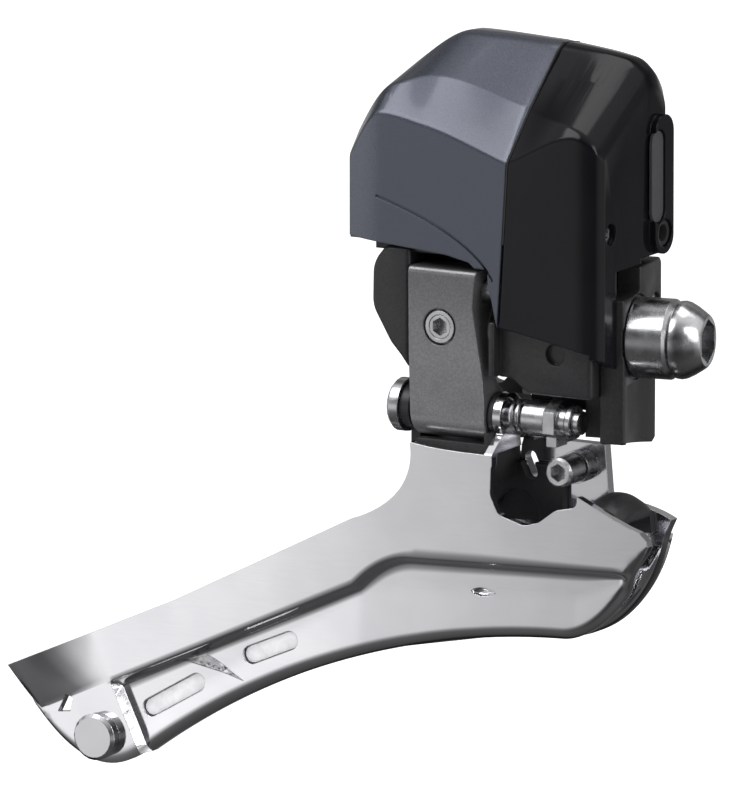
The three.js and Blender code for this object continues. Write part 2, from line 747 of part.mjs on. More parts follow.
function outerLink() {
  const [uy, uz] = OUTER_UPPER;
  const [ly, lz] = OUTER_LOWER;
  const hub = HUB_RADIUS;
  const section = new THREE.Shape();
  section.moveTo(uy - hub, lz);
  section.lineTo(uy - hub, LINK_TOP - LINK_CORNER);
  section.absarc(uy - hub + LINK_CORNER, LINK_TOP - LINK_CORNER, LINK_CORNER, Math.PI, Math.PI / 2, true);
  section.absarc(uy, uz, hub, Math.asin((LINK_TOP - uz) / hub), 0, true);
  section.lineTo(uy + hub - 0.2, uz - 1.4);
  section.quadraticCurveTo(uy + 0.3, uz - 3.4, uy - 0.4, uz - 5.4);
  section.lineTo(uy - 0.4, lz + 5.4);
  section.quadraticCurveTo(ly + 0.3, lz + 3.4, ly + hub - 0.2, lz + 1.4);
  section.lineTo(ly + hub, lz);
  section.absarc(ly, lz, hub, 0, -Math.PI, true);
  const face = [
    [LINK_BACK, 9],
    [LINK_FRONT - 1.2, 9],
    [LINK_FRONT - 1.7, 3.5],
    [LINK_FRONT - 0.2, -5.5],
    [LINK_FRONT, -8],
    [LINK_FRONT, -14],
    [LINK_BACK + 0.4, -14],
    [LINK_BACK + 0.1, -3],
  ];
  const body = prismX(section, LINK_BACK - 1, LINK_FRONT + 1).intersect(prismY(face, -13, 0));
  const screw = [-22.6, 0.8];
  const outer = uy - hub;
  node(
    "outer_link",
    cut(
      body,
      rodX(SHAFT_RADIUS + CLEARANCE, -40, 0, OUTER_UPPER, 24),
      rodX(PIN_RADIUS + RUNNING, -40, 0, OUTER_LOWER, 20),
      rodY(2.35, outer - 1, outer + 0.9, screw, 24),
      rodY(1.56, outer - 1, outer + 6, screw, 20),
    ),
    LINK_PAINT,
  );
  const disc = rodY(2.05, outer + 0.1, outer + 0.85, screw, 24);
  node("adjusting_screw_ring", cut(disc, rodY(1.56, outer - 1, outer + 3, screw, 20)), STEEL);
  const pin = rodY(1.5, outer + 0.15, outer + 4.6, screw, 20);
  node("adjusting_screw", cut(pin, prismY(hexagon(2, screw), outer - 1, outer + 1.7)), STEEL);
}

function innerLink() {
  const [, uz] = INNER_UPPER;
  const [, lz] = INNER_LOWER;
  const y = INNER_UPPER[0];
  const hub = INNER_HUB_RADIUS;
  const back = LINK_BACK - 0.2;
  const front = LINK_FRONT + 0.2;
  const plate = block(back + 1.6, front - 1.6, y - 1.1, y + 1.1, lz, uz);
  const hubs = [INNER_UPPER, INNER_LOWER].map((at) => rodX(hub, back, front, at, 24));
  const waist = prismY(slot([-21.4, -6.5], [-21.4, -2.3], 1.8), y - 3, y + 3);
  node(
    "inner_link",
    cut(
      join(plate, ...hubs),
      waist,
      rodX(PIN_RADIUS + RUNNING, -40, 0, INNER_UPPER, 20),
      rodX(PIN_RADIUS + RUNNING, -40, 0, INNER_LOWER, 20),
    ),
    LINK_PAINT,
  );
}

// ---------------------------------------------------------------- base

const FRONT_SCREW = [-6.9, 14.1]; // y, z
const BLIND_HOLE = [-7.05, -1.6]; // x, z

const LOBE_FRONT = -27.5;
const EAR_BACK = -15.7;
const BUSH_RADIUS = 2.1;
const BOSS_AROUND_BUSH = 2.4;

function baseBody() {
  const lobeTop = FLOOR_Z - 0.9;
  const lobe = [
    [LOBE_FRONT, lobeTop],
    [-31, lobeTop],
    [-32.3, 8.6],
    [-33, 5.6],
    [-32.9, 2.6],
    [-32, 0.2],
    [-30.4, -2],
    [-28.9, -3.6],
    [LOBE_FRONT, -5.4],
  ];
  const rear = prismY(lobe, -9.4, 5.4);
  const front = prismY(
    [
      [EAR_BACK, FLOOR_Z],
      [-2, FLOOR_Z],
      [-2, -7],
      [-11, -7],
      [-13.6, -5.2],
      [EAR_BACK, -5.2],
    ],
    -8.4,
    6,
  );
  const frontBoss = rodX(BOSS_AROUND_BUSH, EAR_BACK, -13, OUTER_UPPER, 24);
  const wall = block(LOBE_FRONT - 1, EAR_BACK + 1, -3.4, -1.4, 2.3, FLOOR_Z);
  const floor = block(-33, -2, -8.2, 6.1, FLOOR_Z - 1.6, FLOOR_Z + 0.4);
  const flange = block(-13, -2, -3.9, -1.9, -9.2, -6);
  const earEdge = block(EAR_BACK, -14.9, -10.2, -8.3, -5, 2);
  const wellCover = block(-13.1, -8.3, -8.4, -7.4, -3.1, 2.6);
  const gearWell = block(-13, -8.4, -10, 6, -3, FLOOR_Z + 3);
  const frontRoom = block(-8.4, -5.6, -7.2, 4, -5.6, FLOOR_Z + 3);
  const post = block(-7, -1.7, -8.3, -5.4, FLOOR_Z - 0.5, 15.8);
  const bush = (x0, x1) => rodX(BUSH_RADIUS + CLEARANCE, x0, x1, OUTER_UPPER, 24);
  const inFront = block(-BRACKET_THICKNESS - CLEARANCE, 20, -30, 30, -30, 9).rotate([0, 0, MOUNT_DEGREES]);
  const bossPocket = rodX(BOSS_RADIUS + 0.1, -7.2, 0, [0, 0], 24).rotate([0, 0, MOUNT_DEGREES]);
  const foot = block(-5.5, 0, -3.9, 4.5, -12.4, -6).rotate([0, 0, MOUNT_DEGREES]);
  const hollowed = cut(join(rear, front, wall, floor, frontBoss, foot, flange, earEdge), gearWell, frontRoom);
  const shaped = cut(
    join(hollowed, wellCover),
    bush(-31.9, LOBE_FRONT + 1),
    bush(EAR_BACK - 1, -12),
    rodX(PIN_RADIUS + CLEARANCE, -32, -11, INNER_UPPER, 20),
    rodY(1.4, -12, -7.7, BLIND_HOLE, 20),
    inFront,
    bossPocket,
  );
  return cut(join(shaped, post), rodX(0.85, -6, 0, FRONT_SCREW, 16), bush(EAR_BACK - 1, -12));
}

function base() {
  node("base_body", baseBody(), SATIN_BLACK);
  const bushOuter = BUSH_RADIUS;
  const bushInner = SHAFT_RADIUS + RUNNING;
  const bush = (x0, x1) => tubeX(bushOuter, bushInner, x0, x1, OUTER_UPPER, 24);
  node("output_bush_rear", bush(-31.6, LOBE_FRONT - CLEARANCE), BRASS);
  node("output_bush_front", bush(EAR_BACK + 0.6, -13.05), BRASS);
  node("shaft_seal", bush(EAR_BACK - 0.1, EAR_BACK + 0.55), RUBBER);
  node("upper_pivot_pin_inner", rodX(PIN_RADIUS, -31.8, -13.1, INNER_UPPER, 20), STEEL);
}

// ---------------------------------------------------------------- gear train

// A toothed outline. One tooth is centred on the given angle, in degrees; a sector keeps only some teeth.
function toothed(module, teeth, centre, toothAngle, keep = () => true) {
  const pitch = (module * teeth) / 2;
  const root = pitch - 1.2 * module;
  const tip = pitch + 0.85 * module;
  const step = 360 / teeth;
  const halfRoot = THREE.MathUtils.radToDeg((0.78 * module) / root);
  const halfTip = THREE.MathUtils.radToDeg((0.3 * module) / tip);
  const points = [];
  for (let i = 0; i < teeth; i++) {
    const angle = toothAngle + i * step;
    const outer = keep(angle) ? tip : root;
    points.push(polar(centre, root, angle - halfRoot));
    points.push(polar(centre, outer, angle - halfTip));
    points.push(polar(centre, outer, angle + halfTip));
    points.push(polar(centre, root, angle + halfRoot));
  }
  return points;
}

function compoundGear(axis, wheelX, pinionX, pinionModule, wheelTooth, pinionTooth) {
  const wheel = prismX(toothed(FINE_MODULE, WHEEL_TEETH, axis, wheelTooth), ...wheelX);
  const pinion = prismX(toothed(pinionModule, PINION_TEETH, axis, pinionTooth), ...pinionX);
  return cut(join(wheel, pinion), rodX(0.5 + RUNNING, -20, 0, axis, 12));
}

const SECTOR_X = [-12.4, -10.8];
const SECOND_X = [-10.7, -9.5];
const FIRST_X = [-8.2, -7];

function gearTrain() {
  const halfStep = 180 / SECTOR_TEETH;
  const sweep = [SECTOR_ANGLE - 10, SECTOR_ANGLE + 46];
  const kept = (angle) => {
    const turn = ((angle % 360) + 360) % 360;
    return turn > sweep[0] && turn < sweep[1];
  };
  // The sector is the part of a full gear that lies between two rays from its axis.
  const full = prismX(toothed(COARSE_MODULE, SECTOR_TEETH, OUTER_UPPER, SECTOR_ANGLE, kept), ...SECTOR_X);
  const wedge = [
    polar(OUTER_UPPER, 1.8, SECTOR_ANGLE + 18 - 90),
    polar(OUTER_UPPER, 12, sweep[0] - halfStep),
    polar(OUTER_UPPER, 12, SECTOR_ANGLE + 4),
    polar(OUTER_UPPER, 12, SECTOR_ANGLE + 32),
    polar(OUTER_UPPER, 12, sweep[1] + halfStep),
    polar(OUTER_UPPER, 1.8, SECTOR_ANGLE + 18 + 90),
  ];
  const hub = rodX(2.2, ...SECTOR_X, OUTER_UPPER, 24);
  const sector = cut(
    join(full.intersect(prismX(wedge, ...SECTOR_X)), hub),
    rodX(SHAFT_RADIUS + CLEARANCE, -20, 0, OUTER_UPPER, 24),
  );
  node("output_sector_gear", sector, STEEL);
  node("output_shaft", rodX(SHAFT_RADIUS, -31.8, -10.2, OUTER_UPPER, 24), STEEL);
  node("position_magnet", rodX(1.3, -10.15, -9.2, OUTER_UPPER, 16), STEEL);

  // Each wheel has a gap, half a tooth away from a tooth, on the line to the pinion that drives it.
  const wheelGap = (angle) => angle + 180 / WHEEL_TEETH;
  const pinionGap = (angle) => angle + 180 / PINION_TEETH;
  node(
    "second_gear",
    compoundGear(
      SECOND_AXIS,
      SECOND_X,
      [SECTOR_X[0], SECOND_X[0] + 0.1],
      COARSE_MODULE,
      wheelGap(SECOND_ANGLE),
      pinionGap(SECTOR_ANGLE + 180),
    ),
    BRASS,
  );
  node(
    "first_gear",
    compoundGear(
      FIRST_AXIS,
      FIRST_X,
      [SECOND_X[0], FIRST_X[0] + 0.1],
      FINE_MODULE,
      wheelGap(MOTOR_ANGLE),
      SECOND_ANGLE + 180,
    ),
    BRASS,
  );
  const canEnd = SEAM_X - 1.6;
  node(
    "motor_shaft",
    join(
      rodX(0.75, canEnd - 16, FIRST_X[1] + 0.4, MOTOR_AXIS, 12),
      prismX(
        toothed(FINE_MODULE, PINION_TEETH, MOTOR_AXIS, MOTOR_ANGLE + 180),
        FIRST_X[0] - 0.2,
        FIRST_X[1] + 0.3,
      ),
    ),
    STEEL,
  );
  const canBack = canEnd - 15.6;
  const can = turned(
    "x",
    [
      [0, canBack],
      [MOTOR_RADIUS - 0.6, canBack],
      [MOTOR_RADIUS, canBack + 0.6],
      [MOTOR_RADIUS, canEnd - 0.5],
      [MOTOR_RADIUS - 0.5, canEnd],
      [0, canEnd],
    ],
    [0, ...MOTOR_AXIS],
    24,
  );
  node("motor_can", cut(can, rodX(0.75 + RUNNING, canEnd - 16.3, 0, MOTOR_AXIS, 12)), STEEL);

  // Plate that carries the motor and the gear axles.
  const foot = FLOOR_Z + 0.5;
  const plateOutline = [[-6.4, foot], [5.8, foot], [5.8, 24], [4, 29.6], [-1.4, 29], [-6.4, 22]];
  const plate = cut(
    prismX(plateOutline, canEnd + 0.1, canEnd + 1.3),
    rodX(1.8, -20, 0, MOTOR_AXIS, 16),
    rodX(0.5 + CLEARANCE, -20, 0, SECOND_AXIS, 12),
    rodX(0.5 + CLEARANCE, -20, 0, FIRST_AXIS, 12),
  );
  node("gear_plate", plate, STEEL);
  node("second_gear_axle", rodX(0.5, canEnd + 0.1, SECOND_X[1] + 1, SECOND_AXIS, 12), STEEL);
  node("first_gear_axle", rodX(0.5, canEnd + 0.1, FIRST_X[1] + 1, FIRST_AXIS, 12), STEEL);
  node("circuit_board", block(-5, -4.2, -5, 5.8, FLOOR_Z + 1.2, 26.6), BOARD_GREEN);
}

// ---------------------------------------------------------------- motor unit shells

// Sections of the unit, from back to front: x, then the corners [y, z] above the lower edge.
const SECTIONS = [
  [-37.3, [[-6.6, 19], [-4.6, 21], [0, 22], [4, 21.6], [5.6, 19.6]], [-6.6, 5.6]],
  [-36.2, [[-9.3, 21.4], [-6.6, 24.4], [0, 26.2], [5, 25.7], [7.2, 23.4]], [-9.3, 7.2]],
  [-31.4, [[-10, 27.2], [-7, 30.4], [0.6, 32.6], [5.8, 32], [8, 29.8]], [-10, 8]],
  [-25, [[-10, 26.2], [-5.2, 31.7], [1.6, 36.5], [6, 36.2], [8, 34]], [-10, 8]],
  [SEAM_X, [[-10, 22.4], [-5, 28.8], [2, 36.2], [6.3, 35.7], [8, 33.6]], [-10, 8]],
  [-3.2, [[-10, 26.4], [-9.4, 27.2], [3, 34.9], [6.2, 34.3], [8, 32.2]], [-10, 8]],
  [-0.9, [[-9.5, 25], [-8.9, 25.7], [3.2, 33.2], [6, 32.6], [7.7, 30.6]], [-9.5, 7.7]],
  [0, [[-8.4, 23.6], [-7.8, 24.2], [3.4, 31.2], [5.6, 30.6], [7, 28.8]], [-8.4, 7]],
];
const UNIT_BOTTOM = -9;

// The seam between the two shells, from the bottom up: x, z.
const SEAM = [[-14.4, 1.4], [-14.1, 6], [-13.1, 22.4], [-12.4, 29], [-11.8, 38]];
const SEAM_GAP = 0.2;

function sectionRow([x, corners, [outer, inner]]) {
  return [[x, outer, UNIT_BOTTOM], ...corners.map(([y, z]) => [x, y, z]), [x, inner, UNIT_BOTTOM]];
}

// The same section moved inwards by the wall thickness, with its lower end left open.
function insetRow([x, corners, [outer, inner]], inset) {
  const all = [[outer, UNIT_BOTTOM - 4], ...corners, [inner, UNIT_BOTTOM - 4]];
  const moved = all.map(([y, z], i) => {
    if (i === 0) return [y + inset, z];
    if (i === all.length - 1) return [y - inset, z];
    const [a, b] = [all[i - 1], all[i + 1]];
    const before = normalOf(a, [y, z]);
    const after = normalOf([y, z], b);
    const sum = [before[0] + after[0], before[1] + after[1]];
    const scale = inset / (0.5 * (sum[0] ** 2 + sum[1] ** 2));
    return [y - sum[0] * scale, z - sum[1] * scale];
  });
  return moved.map(([y, z]) => [x, y, z]);
}

// Unit normal, to the left of a step from one corner to the next, which is outwards here.
function normalOf(a, b) {
  const length = Math.hypot(b[0] - a[0], b[1] - a[1]) || 1;
  return [-(b[1] - a[1]) / length, (b[0] - a[0]) / length];
}

function between(a, b, t) {
  return [
    mix(a[0], b[0], t),
    a[1].map(([y, z], i) => [mix(y, b[1][i][0], t), mix(z, b[1][i][1], t)]),
    [mix(a[2][0], b[2][0], t), mix(a[2][1], b[2][1], t)],
  ];
}

function shells() {
  const outside = skin(SECTIONS.map(sectionRow));
  const rearInside = between(SECTIONS[1], SECTIONS[2], 0.15);
  const frontInside = between(SECTIONS[5], SECTIONS[6], 0.8);
  const inner = [rearInside, ...SECTIONS.slice(2, 6), frontInside];
  const inside = skin(inner.map((section) => insetRow(section, WALL)));
  const shell = outside.subtract(inside);

  // The cover hangs over the links, with a strip that runs down beside the seam.
  const seam = (shift) => SEAM.map(([x, z]) => [x + shift, z]);
  const coverEdge = [[-40, 11.6], [-35, 11], [-30, 10.6], [-22, 10], [-18.6, 9.3], [-16.6, 7.6], [-15.4, 5]];
  const coverOutboard = [...coverEdge, ...seam(-SEAM_GAP), [-40, 40]];
  const coverInboard = [[-40, 10.6], [SEAM[1][0] - SEAM_GAP, 10.6], ...seam(-SEAM_GAP).slice(2), [-40, 40]];
  const pivotRoom = rodX(BOSS_AROUND_BUSH + 0.1, EAR_BACK - 0.2, -9, OUTER_UPPER, 24);
  const linkRoom = rodX(HUB_RADIUS + 1, -28, LINK_FRONT + 0.3, OUTER_UPPER, 24);
  const cover = join(
    shell.intersect(prismY(coverOutboard, -20, -8)),
    shell.intersect(prismY(coverInboard, -8, 20)),
  );
  node("motor_cover", cut(cover, pivotRoom, linkRoom), COVER_PAINT);
  const halfBand = SEAM_GAP - 0.1;
  const bandOutline = [...seam(-halfBand).slice(1), ...seam(halfBand).slice(1).reverse()];
  const gasketBand = prismY(bandOutline, -20, 20);
  node("cover_gasket", shell.intersect(gasketBand.intersect(block(-20, 0, -20, 20, 12, 40))), RUBBER);

  const frontOutline = [
    ...seam(SEAM_GAP).reverse(),
    [-8.3, 0.4],
    [0.2, -1.25],
    [1, -1.3],
    [1, 38],
  ];
  const outboard = prismY(frontOutline, -20, -2);
  const middle = block(-6, 1, -2, 0.9, -4.4, 38);
  const seamFoot = [SEAM[1][0] + SEAM_GAP + 0.5, 9.8];
  const high = prismY([...seam(SEAM_GAP).slice(2).reverse(), seamFoot, [1, 9.8], [1, 38]], -2.1, 20);
  const bracketRoom = block(-BRACKET_THICKNESS - 0.1, 20, -5.35, 30, -30, 9.1).rotate([0, 0, MOUNT_DEGREES]);
  const apron = prismX([[-10, -1.3], [-5, -3.4], [-5, 0], [-10, 0]], -1.6, 1);
  const lobe = portLobe();
  const hole = rodX(1.35, -6, 3, FRONT_SCREW, 20);
  const kept = join(...[outboard, middle, high, apron].map((part) => shell.intersect(part)), lobe.body);
  const made = cut(kept, hole, lobe.recess, lobe.port, bracketRoom, pivotRoom);
  node("front_housing", made, GLOSS_BLACK);

  // Screw of the front housing, with its head below the surface.
  const headed = turned(
    "x",
    [[0, -5.4], [0.8, -5.4], [0.8, -1.6], [1.25, -1.6], [1.25, -0.7], [0, -0.7]],
    [0, ...FRONT_SCREW],
    16,
  );
  node("housing_screw_front", cut(headed, prismX(hexagon(1.5, FRONT_SCREW), -1.3, 0)), STEEL);
  node("connector_lid", lobe.lid, GREY_PLASTIC);
  node("connector_socket", lobe.socket, RUBBER);
}

const PORT = [5.5, 12.4];

// The lobe on the front face that holds the wire port and its grey lid.
function portLobe() {
  const body = prismX(slot([5.3, 12.1], [5.3, 25.2], 2.3), -1.6, 0.9);
  const recess = prismX(slot([3.9, 15.4], [3.9, 24.2], 1.55), 0.2, 2);
  const lid = prismX(slot([3.9, 15.4], [3.9, 24.2], 1.45), 0.25, 0.65);
  const port = rodX(1.75, -3, 3, PORT, 20);
  const socket = cut(rodX(1.65, -1.4, 0.5, PORT, 20), rodX(1.1, -0.6, 2, PORT, 16));
  return { body, recess, lid, port, socket };
}

// ---------------------------------------------------------------- mount, in the turned group

function mount() {
  const outline = [
    [-5.2, -12.9],
    [8.5, -15],
    [9.1, -14.4],
    [9.2, 8],
    [8.6, 8.7],
    [1.2, 8.7],
    [1.2, 5.4],
    [-5.2, 5.4],
  ];
  // The lower part is hollowed along Z, to clear a round seat tube.
  const tubeHollow = rodZ(17, -16, -5.6, [15.2, 3.4], 64);
  const plate = prismX(outline, -BRACKET_THICKNESS, 0);
  const boss = rodX(BOSS_RADIUS, -BRACKET_THICKNESS - BOSS_LENGTH, -1, [0, 0], 24);
  const bracket = cut(
    join(plate, boss),
    tubeHollow,
    rodX(WASHER_RADIUS + 0.3, -0.25, 1, [0, 0], 32),
    rodX(BOLT_RADIUS + CLEARANCE, -9, 1, [0, 0], 24),
    ...BRACKET_SCREWS.map((centre) => bracketScrewHole(centre)),
  );
  node("mount_bracket", bracket, SATIN_BLACK, mountGroup);
  const washer = turned(
    "x",
    [
      [BOLT_RADIUS + 0.1, -0.2],
      [WASHER_RADIUS - 0.3, -0.2],
      [WASHER_RADIUS, 0.1],
      [WASHER_RADIUS, WASHER_LENGTH - 0.5],
      [WASHER_RADIUS - 0.5, WASHER_LENGTH],
      [BOLT_RADIUS + 0.1, WASHER_LENGTH],
      [BOLT_RADIUS + 0.1, -0.2],
    ],
    [0, 0, 0],
    32,
  );
  node("clamp_washer", washer, STEEL, mountGroup);
  const head = WASHER_LENGTH + CLEARANCE;
  const bolt = turned(
    "x",
    [
      [0, -6.5],
      [BOLT_RADIUS - 0.4, -6.5],
      [BOLT_RADIUS, -6.1],
      [BOLT_RADIUS, head],
      [4.6, head],
      [4.9, head + 0.3],
      [4.95, head + 0.9],
      [4.85, head + 1.4],
      [4.4, head + 2.3],
      [3.75, head + 3.3],
      [3.4, head + 3.8],
      [3.15, head + 4],
      [0, head + 4],
    ],
    [0, 0, 0],
    32,
  );
  node("clamp_bolt", cut(bolt, prismX(hexagon(5, [0, 0]), head + 1.2, head + 6)), STEEL, mountGroup);
  BRACKET_SCREWS.forEach((centre, i) => {
    const screw = turned(
      "x",
      [[0, -3.1], [1, -3.1], [1, -1.5], [1.8, -1.1], [1.8, -0.4], [0, -0.4]],
      [0, ...centre],
      20,
    );
    node("bracket_screw_" + (i + 1), cut(screw, prismX(hexagon(2, centre), -1.2, 1)), STEEL, mountGroup);
  });
}

const BRACKET_SCREWS = [[6.9, 2.6], [6.9, -3.2]];

function bracketScrewHole(centre) {
  const profile = [[0, -4], [1.1, -4], [1.1, -1.6], [1.9, -1.2], [1.9, 1], [0, 1]];
  return turned("x", profile, [0, ...centre], 20);
}

function rodZ(radius, z0, z1, [x, y], segments) {
  return turned("z", [[0, z0], [radius, z0], [radius, z1], [0, z1]], [x, y, 0], segments);
}

cage();
lowerPivots();
outerLink();
innerLink();
base();
gearTrain();
shells();
mount();

export default object;
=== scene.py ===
"""Looks of the front derailleur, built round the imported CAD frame.

Lengths are in millimetres until a mesh is made, and angles in degrees.
"""

import json
import math

import bpy
from mathutils import Matrix, Vector

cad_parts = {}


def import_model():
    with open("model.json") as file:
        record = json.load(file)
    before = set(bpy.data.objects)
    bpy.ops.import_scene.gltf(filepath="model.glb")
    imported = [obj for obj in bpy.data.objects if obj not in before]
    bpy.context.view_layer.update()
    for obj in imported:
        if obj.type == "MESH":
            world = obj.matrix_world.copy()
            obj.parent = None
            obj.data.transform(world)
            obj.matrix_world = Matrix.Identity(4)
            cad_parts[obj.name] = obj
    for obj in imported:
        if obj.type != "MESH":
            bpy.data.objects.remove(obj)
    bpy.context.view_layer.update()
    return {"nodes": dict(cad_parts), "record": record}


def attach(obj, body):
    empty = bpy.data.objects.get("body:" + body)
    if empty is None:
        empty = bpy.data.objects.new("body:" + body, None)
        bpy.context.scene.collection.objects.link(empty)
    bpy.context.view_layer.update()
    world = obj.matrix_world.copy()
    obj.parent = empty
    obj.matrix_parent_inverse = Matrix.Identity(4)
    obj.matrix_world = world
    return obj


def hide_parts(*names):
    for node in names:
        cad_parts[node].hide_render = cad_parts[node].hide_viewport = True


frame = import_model()

MM = 0.001
MOUNT_DEGREES = 10
SLOT_OF = {part["node"]: part["material_slot"] for part in frame["record"]["subparts"]}
MOUNT_TURN = Matrix.Rotation(math.radians(MOUNT_DEGREES), 4, "Z")

# ---------------------------------------------------------------- materials


class Look:
    """A procedural material: a principled surface with the node helpers that its details need."""

    def __init__(self, name, color, metallic, roughness):
        self.material = bpy.data.materials.new(name)
        self.material.use_nodes = True
        self.tree = self.material.node_tree
        self.tree.nodes.clear()
        self.output = self.add("ShaderNodeOutputMaterial")
        self.surface = self.add("ShaderNodeBsdfPrincipled")
        self.link(self.surface.outputs[0], self.output.inputs[0])
        self.color = (*color, 1.0)
        self.surface.inputs["Base Color"].default_value = self.color
        self.surface.inputs["Metallic"].default_value = metallic
        self.surface.inputs["Roughness"].default_value = roughness
        self.roughness = roughness
        self.normal = None
        self.place = self.add("ShaderNodeTexCoord").outputs["Object"]

    def add(self, kind, **settings):
        node = self.tree.nodes.new(kind)
        for key, value in settings.items():
            setattr(node, key, value)
        return node

    def link(self, a, b):
        self.tree.links.new(a, b)

    def stretched(self, scale):
        mapping = self.add("ShaderNodeMapping")
        mapping.inputs["Scale"].default_value = scale
        self.link(self.place, mapping.inputs["Vector"])
        return mapping.outputs[0]

    def noise(self, scale, detail=3.0, rough=0.5, vector=None):
        node = self.add("ShaderNodeTexNoise")
        node.inputs["Scale"].default_value = scale
        node.inputs["Detail"].default_value = detail
        node.inputs["Roughness"].default_value = rough
        self.link(vector or self.place, node.inputs["Vector"])
        return node.outputs[0]

    def ramp(self, value, low, high, start=0.35, end=0.65):
        node = self.add("ShaderNodeMapRange")
        node.inputs["From Min"].default_value = start
        node.inputs["From Max"].default_value = end
        node.inputs["To Min"].default_value = low
        node.inputs["To Max"].default_value = high
        self.link(value, node.inputs["Value"])
        return node.outputs["Result"]

    def round_edges(self, radius_mm):
        node = self.add("ShaderNodeBevel", samples=4)
        node.inputs["Radius"].default_value = radius_mm * MM
        self.normal = node.outputs[0]
        self.link(self.normal, self.surface.inputs["Normal"])

    def bow(self, axis, per_metre, middle_mm):
        """Leans the surface a little along one axis, as on a sheet that is slightly bowed."""
        split = self.add("ShaderNodeSeparateXYZ")
        self.link(self.place, split.inputs[0])
        lean = self.add("ShaderNodeMath", operation="MULTIPLY_ADD")
        self.link(split.outputs[axis], lean.inputs[0])
        lean.inputs[1].default_value = per_metre
        lean.inputs[2].default_value = -per_metre * middle_mm * MM
        aside = self.add("ShaderNodeCombineXYZ")
        self.link(lean.outputs[0], aside.inputs[axis])
        total = self.add("ShaderNodeVectorMath", operation="ADD")
        self.link(self.normal, total.inputs[0])
        self.link(aside.outputs[0], total.inputs[1])
        unit = self.add("ShaderNodeVectorMath", operation="NORMALIZE")
        self.link(total.outputs[0], unit.inputs[0])
        self.normal = unit.outputs[0]
        self.link(self.normal, self.surface.inputs["Normal"])

    def bump(self, height, distance_mm, strength):
        node = self.add("ShaderNodeBump")
        node.inputs["Strength"].default_value = strength
        node.inputs["Distance"].default_value = distance_mm * MM
        self.link(height, node.inputs["Height"])
        if self.normal is not None:
            self.link(self.normal, node.inputs["Normal"])
        self.normal = node.outputs[0]
        self.link(self.normal, self.surface.inputs["Normal"])

    def vary_roughness(self, value, spread):
        low, high = max(0.02, self.roughness - spread), self.roughness + spread
        self.link(self.ramp(value, low, high), self.surface.inputs["Roughness"])

    def vary_color(self, value, other, low=0.0, high=1.0, start=0.35, end=0.65):
        node = self.add("ShaderNodeMix", data_type="RGBA")
        self.link(self.ramp(value, low, high, start, end), node.inputs["Factor"])
        node.inputs["A"].default_value = self.color
        node.inputs["B"].default_value = (*other, 1.0)
        self.link(node.outputs["Result"], self.surface.inputs["Base Color"])

    def coat(self, weight, roughness):
        self.surface.inputs["Coat Weight"].default_value = weight
        self.surface.inputs["Coat Roughness"].default_value = roughness


def gloss_black():
    look = Look("gloss_black", (0.004, 0.004, 0.005), 0.0, 0.14)
    look.surface.inputs["Specular IOR Level"].default_value = 0.24
    look.round_edges(0.3)
    look.bump(look.noise(900, 2.0), 0.004, 0.5)
    look.vary_roughness(look.noise(120, 4.0), 0.04)
    look.vary_color(look.noise(60), (0.006, 0.006, 0.008))
    return look.material


def cover_paint():
    look = Look("cover_paint", (0.058, 0.064, 0.086), 0.7, 0.34)
    look.round_edges(0.25)
    look.bump(look.noise(700, 2.0), 0.003, 0.4)
    flake = look.noise(16000, 0.0)
    look.vary_color(flake, (0.105, 0.113, 0.145), 0.0, 1.0, 0.42, 0.62)
    look.vary_roughness(flake, 0.07)
    look.coat(0.5, 0.08)
    return look.material


def link_paint():
    look = Look("link_paint", (0.2, 0.2, 0.207), 0.75, 0.36)
    look.round_edges(0.25)
    look.bow("Z", -26.0, 0.5)
    grain = look.noise(4200, 2.0, 0.6)
    look.bump(grain, 0.008, 0.5)
    look.vary_color(grain, (0.25, 0.25, 0.26), 0.0, 1.0, 0.4, 0.62)
    look.vary_roughness(look.noise(300, 3.0), 0.06)
    return look.material


def satin_black():
    look = Look("satin_black", (0.012, 0.012, 0.013), 0.0, 0.4)
    look.round_edges(0.25)
    grain = look.noise(3600, 3.0, 0.6)
    look.bump(grain, 0.012, 0.5)
    look.vary_roughness(look.noise(200, 3.0), 0.07)
    look.vary_color(grain, (0.02, 0.02, 0.022))
    return look.material


def polished(name="polished", bowed=0.0):
    look = Look(name, (0.86, 0.86, 0.885), 1.0, 0.1)
    look.round_edges(0.12)
    if bowed:
        look.bow("X", bowed, -30)
    swirl = look.noise(45, 3.0)
    fine = look.noise(240, 2.0, 0.5, look.stretched((1, 1, 30)))
    look.bump(swirl, 0.02, 0.25)
    look.vary_roughness(fine, 0.03)
    look.vary_color(look.noise(90, 4.0), (0.8, 0.8, 0.83))
    return look.material


def steel(name="steel", color=(0.66, 0.665, 0.68), roughness=0.24):
    look = Look(name, color, 1.0, roughness)
    look.round_edges(0.1)
    lines = look.noise(500, 2.0, 0.5, look.stretched((30, 1, 1)))
    look.bump(lines, 0.004, 0.5)
    look.vary_roughness(look.noise(700, 4.0), 0.08)
    look.vary_color(look.noise(300, 4.0), tuple(0.82 * c for c in color))
    return look.material


def plain(name, color, roughness, grain_mm=0.006, scale=2600):
    look = Look(name, color, 0.0, roughness)
    look.round_edges(0.12)
    grain = look.noise(scale, 3.0)
    look.bump(grain, grain_mm, 0.5)
    look.vary_roughness(look.noise(260, 3.0), 0.05)
    look.vary_color(grain, tuple(0.85 * c for c in color))
    return look.material


LOOKS = {
    "gloss_black": gloss_black(),
    "cover_paint": cover_paint(),
    "link_paint": link_paint(),
    "satin_black": satin_black(),
    "polished": polished(),
    "plate": polished("plate", 3.0),
    "steel": steel(),
    "brass": steel("brass", (0.62, 0.45, 0.2), 0.3),
    "rubber": plain("rubber", (0.018, 0.018, 0.018), 0.7, 0.02, 1800),
    "pad": plain("pad", (0.9, 0.9, 0.915), 0.3, 0.001, 700),
    "grey_plastic": plain("grey_plastic", (0.045, 0.045, 0.05), 0.5),
    "board": plain("board", (0.02, 0.12, 0.05), 0.4),
}

